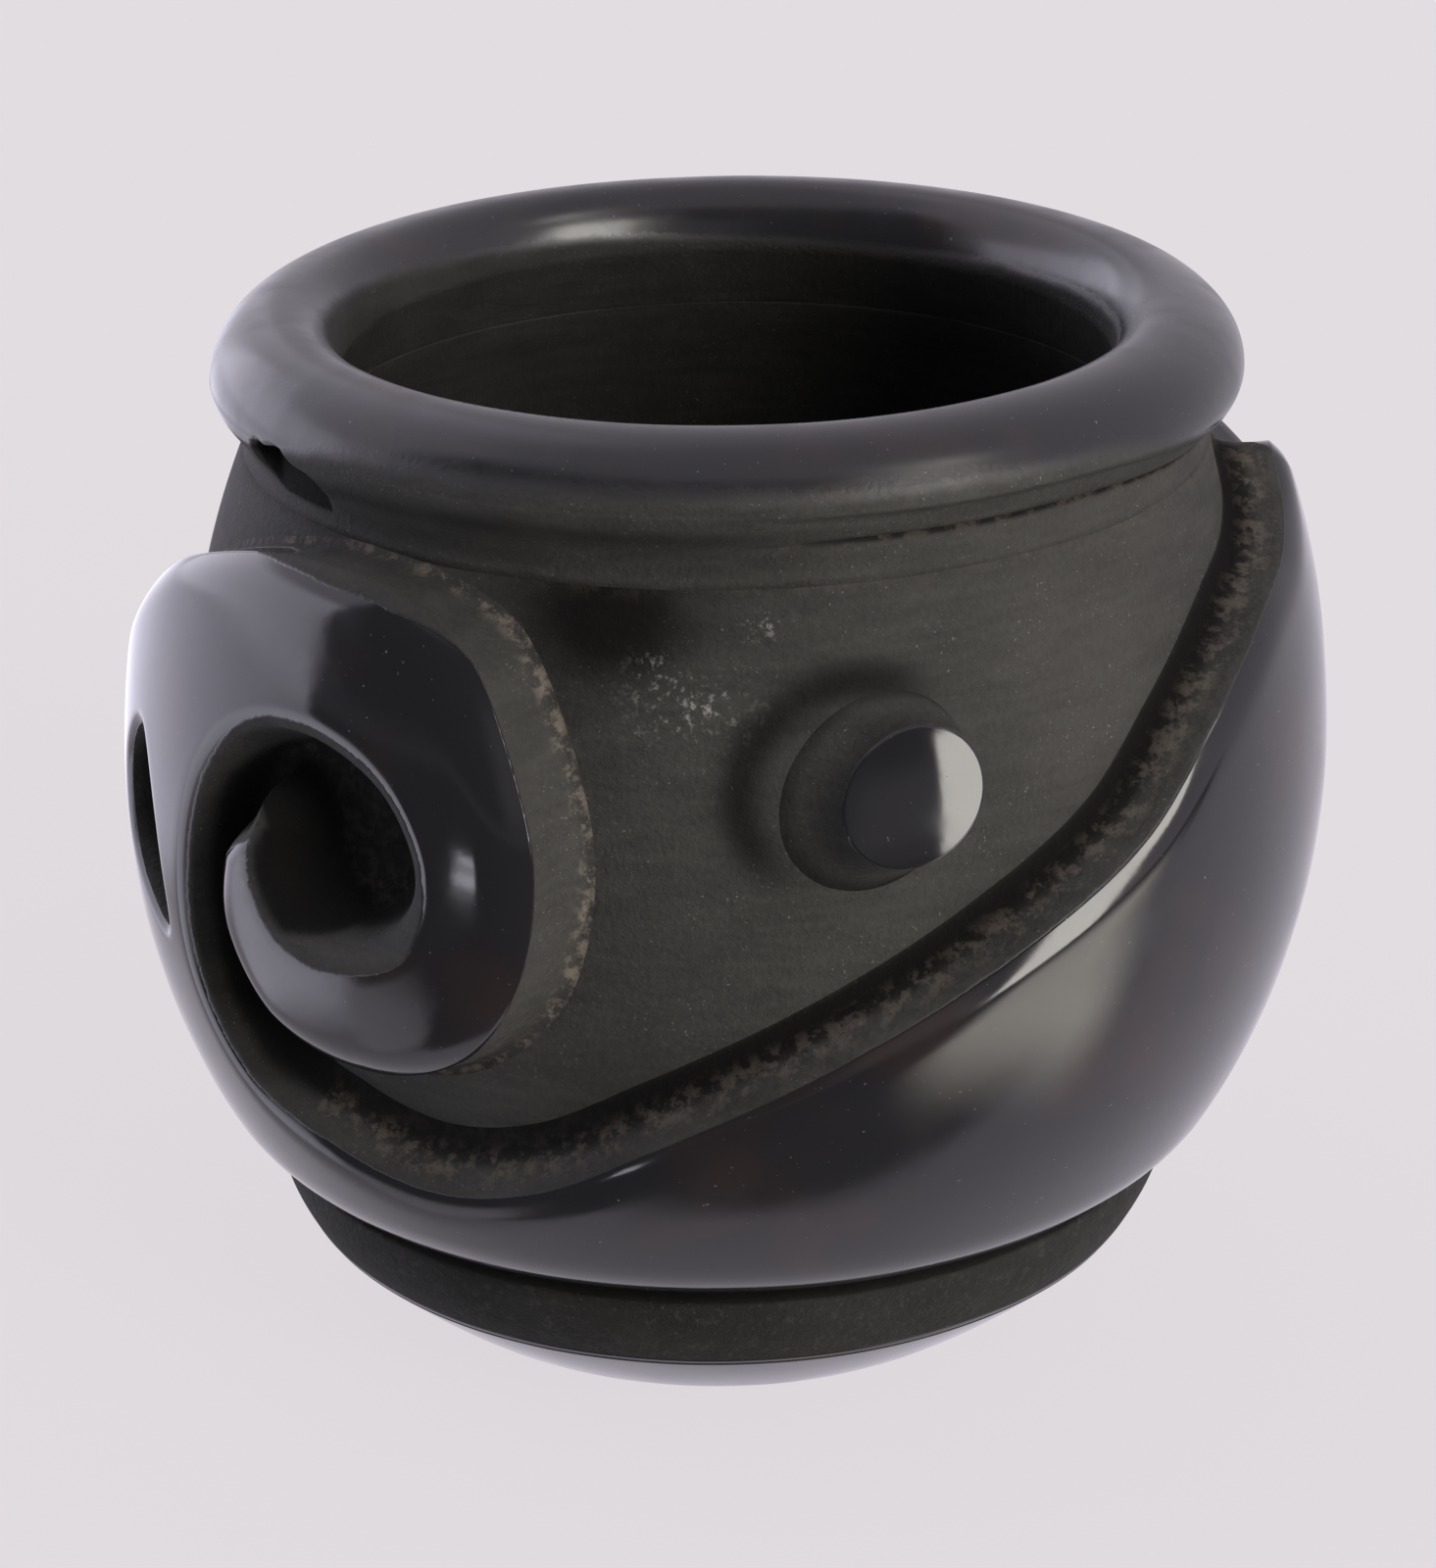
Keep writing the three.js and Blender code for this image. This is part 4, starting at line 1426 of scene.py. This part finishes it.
@dataclass
class Studio:
    """The pale floor, the soft light and the camera."""

    camera_place: tuple[float, float, float] = (-0.7, -273.3, 150.8)
    aim: tuple[float, float, float] = (-0.52, 0.0, 35.4)
    roll: float = 0.84
    focal_pixels: float = 4280.0
    long_side: float = 1600.0
    sensor: float = 36.0
    floor_size: float = 6000.0
    floor_colour: Colour = (0.06, 0.058, 0.06)
    floor_glow: Colour = (0.70, 0.665, 0.69)
    walls: Colour = (0.78, 0.735, 0.83)
    front: Colour = FRONT_DARK
    front_edge: float = 0.4
    parts: tuple[RoomPart, ...] = (
        RoomPart((-190.0, 190.0), (60.0, 100.0), (0.70, 0.67, 0.74), 1.0, 12.0),
        RoomPart((-84.0, 31.0), (-2.0, 56.0), FRONT_DARK, 2.0, 14.0),
        RoomPart((-6.0, 31.0), (4.0, 30.0), (0.42, 0.40, 0.43), 20.0, 14.0),
        RoomPart((-168.0, -84.0), (-22.0, 62.0), (1.15, 1.1, 1.26), 2.0, 12.0),
        RoomPart((-152.0, -84.0), (-2.0, 26.0), (2.3, 2.22, 2.6), 1.5, 8.0),
        RoomPart((-168.0, -84.0), (-23.0, -2.0), (1.65, 1.6, 1.9), 2.0, 6.0),
        RoomPart((-108.0, -76.0), (-33.0, -11.0), (2.2, 2.17, 2.52), 5.0, 7.0),
        RoomPart((-80.0, -60.0), (-44.0, -27.0), (1.1, 1.05, 1.15), 8.0, 8.0),
        RoomPart((-50.5, -43.5), (-14.4, -12.2), (6.0, 6.0, 6.6), 2.0, 1.0),
        RoomPart((-50.0, -43.5), (-11.5, -10.1), (6.0, 6.0, 6.6), 2.0, 0.8),
        RoomPart((40.0, 80.0), (-42.0, -10.0), (3.7, 3.5, 3.2), 16.0, 18.0),
        RoomPart((52.0, 70.0), (45.0, 57.0), (4.5, 4.4, 4.1), 4.0, 4.0),
        RoomPart((31.0, 56.0), (-1.0, 38.0), (10.0, 9.7, 9.1), 2.0, 3.0),
    )

    def camera(self) -> None:
        """Sets the camera where the photograph was taken from."""
        data = bpy.data.cameras.new("camera")
        data.sensor_width = self.sensor
        data.lens = self.focal_pixels * self.sensor / self.long_side
        data.clip_start, data.clip_end = 0.01, 20.0
        place, aim = Vector(self.camera_place) * MM, Vector(self.aim) * MM
        ahead = (aim - place).normalized()
        right = ahead.cross(Vector((0.0, 0.0, 1.0))).normalized()
        up = right.cross(ahead)
        lean = math.radians(self.roll)
        right, up = right * math.cos(lean) - up * math.sin(lean), right * math.sin(lean) + up * math.cos(lean)
        camera = bpy.data.objects.new("camera", data)
        camera.matrix_world = Matrix.Translation(place) @ Matrix((right, up, -ahead)).transposed().to_4x4()
        bpy.context.scene.collection.objects.link(camera)
        bpy.context.scene.camera = camera

    def floor(self) -> None:
        """Lays the plain pale floor, a backdrop that stays out of the bowl's mirror and shade."""
        half = self.floor_size / 2
        corners = np.array([(-half, -half, 0.0), (half, -half, 0.0), (half, half, 0.0), (-half, half, 0.0)])
        sheet = new_piece("floor", corners, [(0, 1, 2, 3)])
        sheet.visible_diffuse = sheet.visible_glossy = sheet.visible_shadow = False
        material = bpy.data.materials.new("pale_floor")
        material.use_nodes = True
        shader = material.node_tree.nodes["Principled BSDF"]
        shader.inputs["Base Color"].default_value = (*self.floor_colour, 1.0)
        shader.inputs["Roughness"].default_value = 0.9
        shader.inputs["Specular IOR Level"].default_value = 0.0
        shader.inputs["Emission Color"].default_value = (*self.floor_glow, 1.0)
        shader.inputs["Emission Strength"].default_value = 1.0
        sheet.data.materials.append(material)

    def room(self) -> None:
        """Lights the room, also below the horizon, where the clay mirrors a table.

        It is pale all round and dark towards the camera, with a bright wall to the left and a window to the right.
        """
        world = bpy.data.worlds.new("room")
        world.use_nodes = True
        bpy.context.scene.world = world
        tree = world.node_tree
        tree.nodes.clear()
        bench = NodeBench(tree)
        way = bench.add("ShaderNodeTexCoord").outputs["Generated"]
        x, y, z = bench.add("ShaderNodeSeparateXYZ", {0: way}).outputs
        turn = bench.math("DEGREES", bench.math("ARCTAN2", x, bench.times(y, -1.0)))
        rise = bench.math("DEGREES", bench.math("ARCSINE", z))

        def within(value: Socket, bounds: tuple[float, float], blur: float) -> Socket:
            """1 between the bounds, fading over the blur at each."""
            start = bench.span(value, bounds[0] - blur / 2, bounds[0] + blur / 2)
            end = bench.span(value, bounds[1] - blur / 2, bounds[1] + blur / 2)
            return bench.math("SUBTRACT", start, end)

        ahead = bench.times(z, self.front_edge, bench.times(y, -1.0))
        below = bench.math("SUBTRACT", 1.0, bench.span(z, -0.02, 0.02))
        colour = bench.mix(bench.times(bench.span(ahead, -0.06, 0.06), below), self.walls, self.front)
        for part in self.parts:
            across = within(turn, part.turn, part.side_blur)
            share = bench.times(across, within(rise, part.rise, part.rise_blur))
            colour = bench.mix(share, colour, part.colour)
        sky = bench.out("ShaderNodeBackground", {"Color": colour, "Strength": 1.0})
        bench.add("ShaderNodeOutputWorld", {"Surface": sky})

    def build(self) -> None:
        """Builds the whole studio."""
        self.camera()
        self.floor()
        self.room()
        bpy.context.scene.view_settings.view_transform = "Standard"


def main() -> None:
    """Builds the pieces in order."""
    logging.basicConfig(level=logging.INFO, format="%(name)s %(message)s")
    form = BellyForm.from_frame()
    turning = turning_tree()
    burnished = ClayFinish(Slot.BURNISHED.value).build()
    satin = ClayFinish("burnished_rim", shine=0.22, smudge=0.12, fringe=0.42).build()
    matt = ClayFinish(Slot.MATT.value).build()
    hand = HandWork(depth=0.12, breadth=13.0, seed=2.0)
    WallCourses(form, hand).build(turning, matt)
    RimCoil(form, hand).build(turning, satin)
    BasePat(form, hand).build(turning, burnished)
    WaveRelief(form, hand).build(carving_tree(), burnished)
    OvalBoss(form, HandWork(depth=0.03, breadth=6.0, seed=9.0)).build(repeating_tree(), burnished)
    Studio().build()
    bpy.context.view_layer.update()


if __name__ == "__main__":
    main()
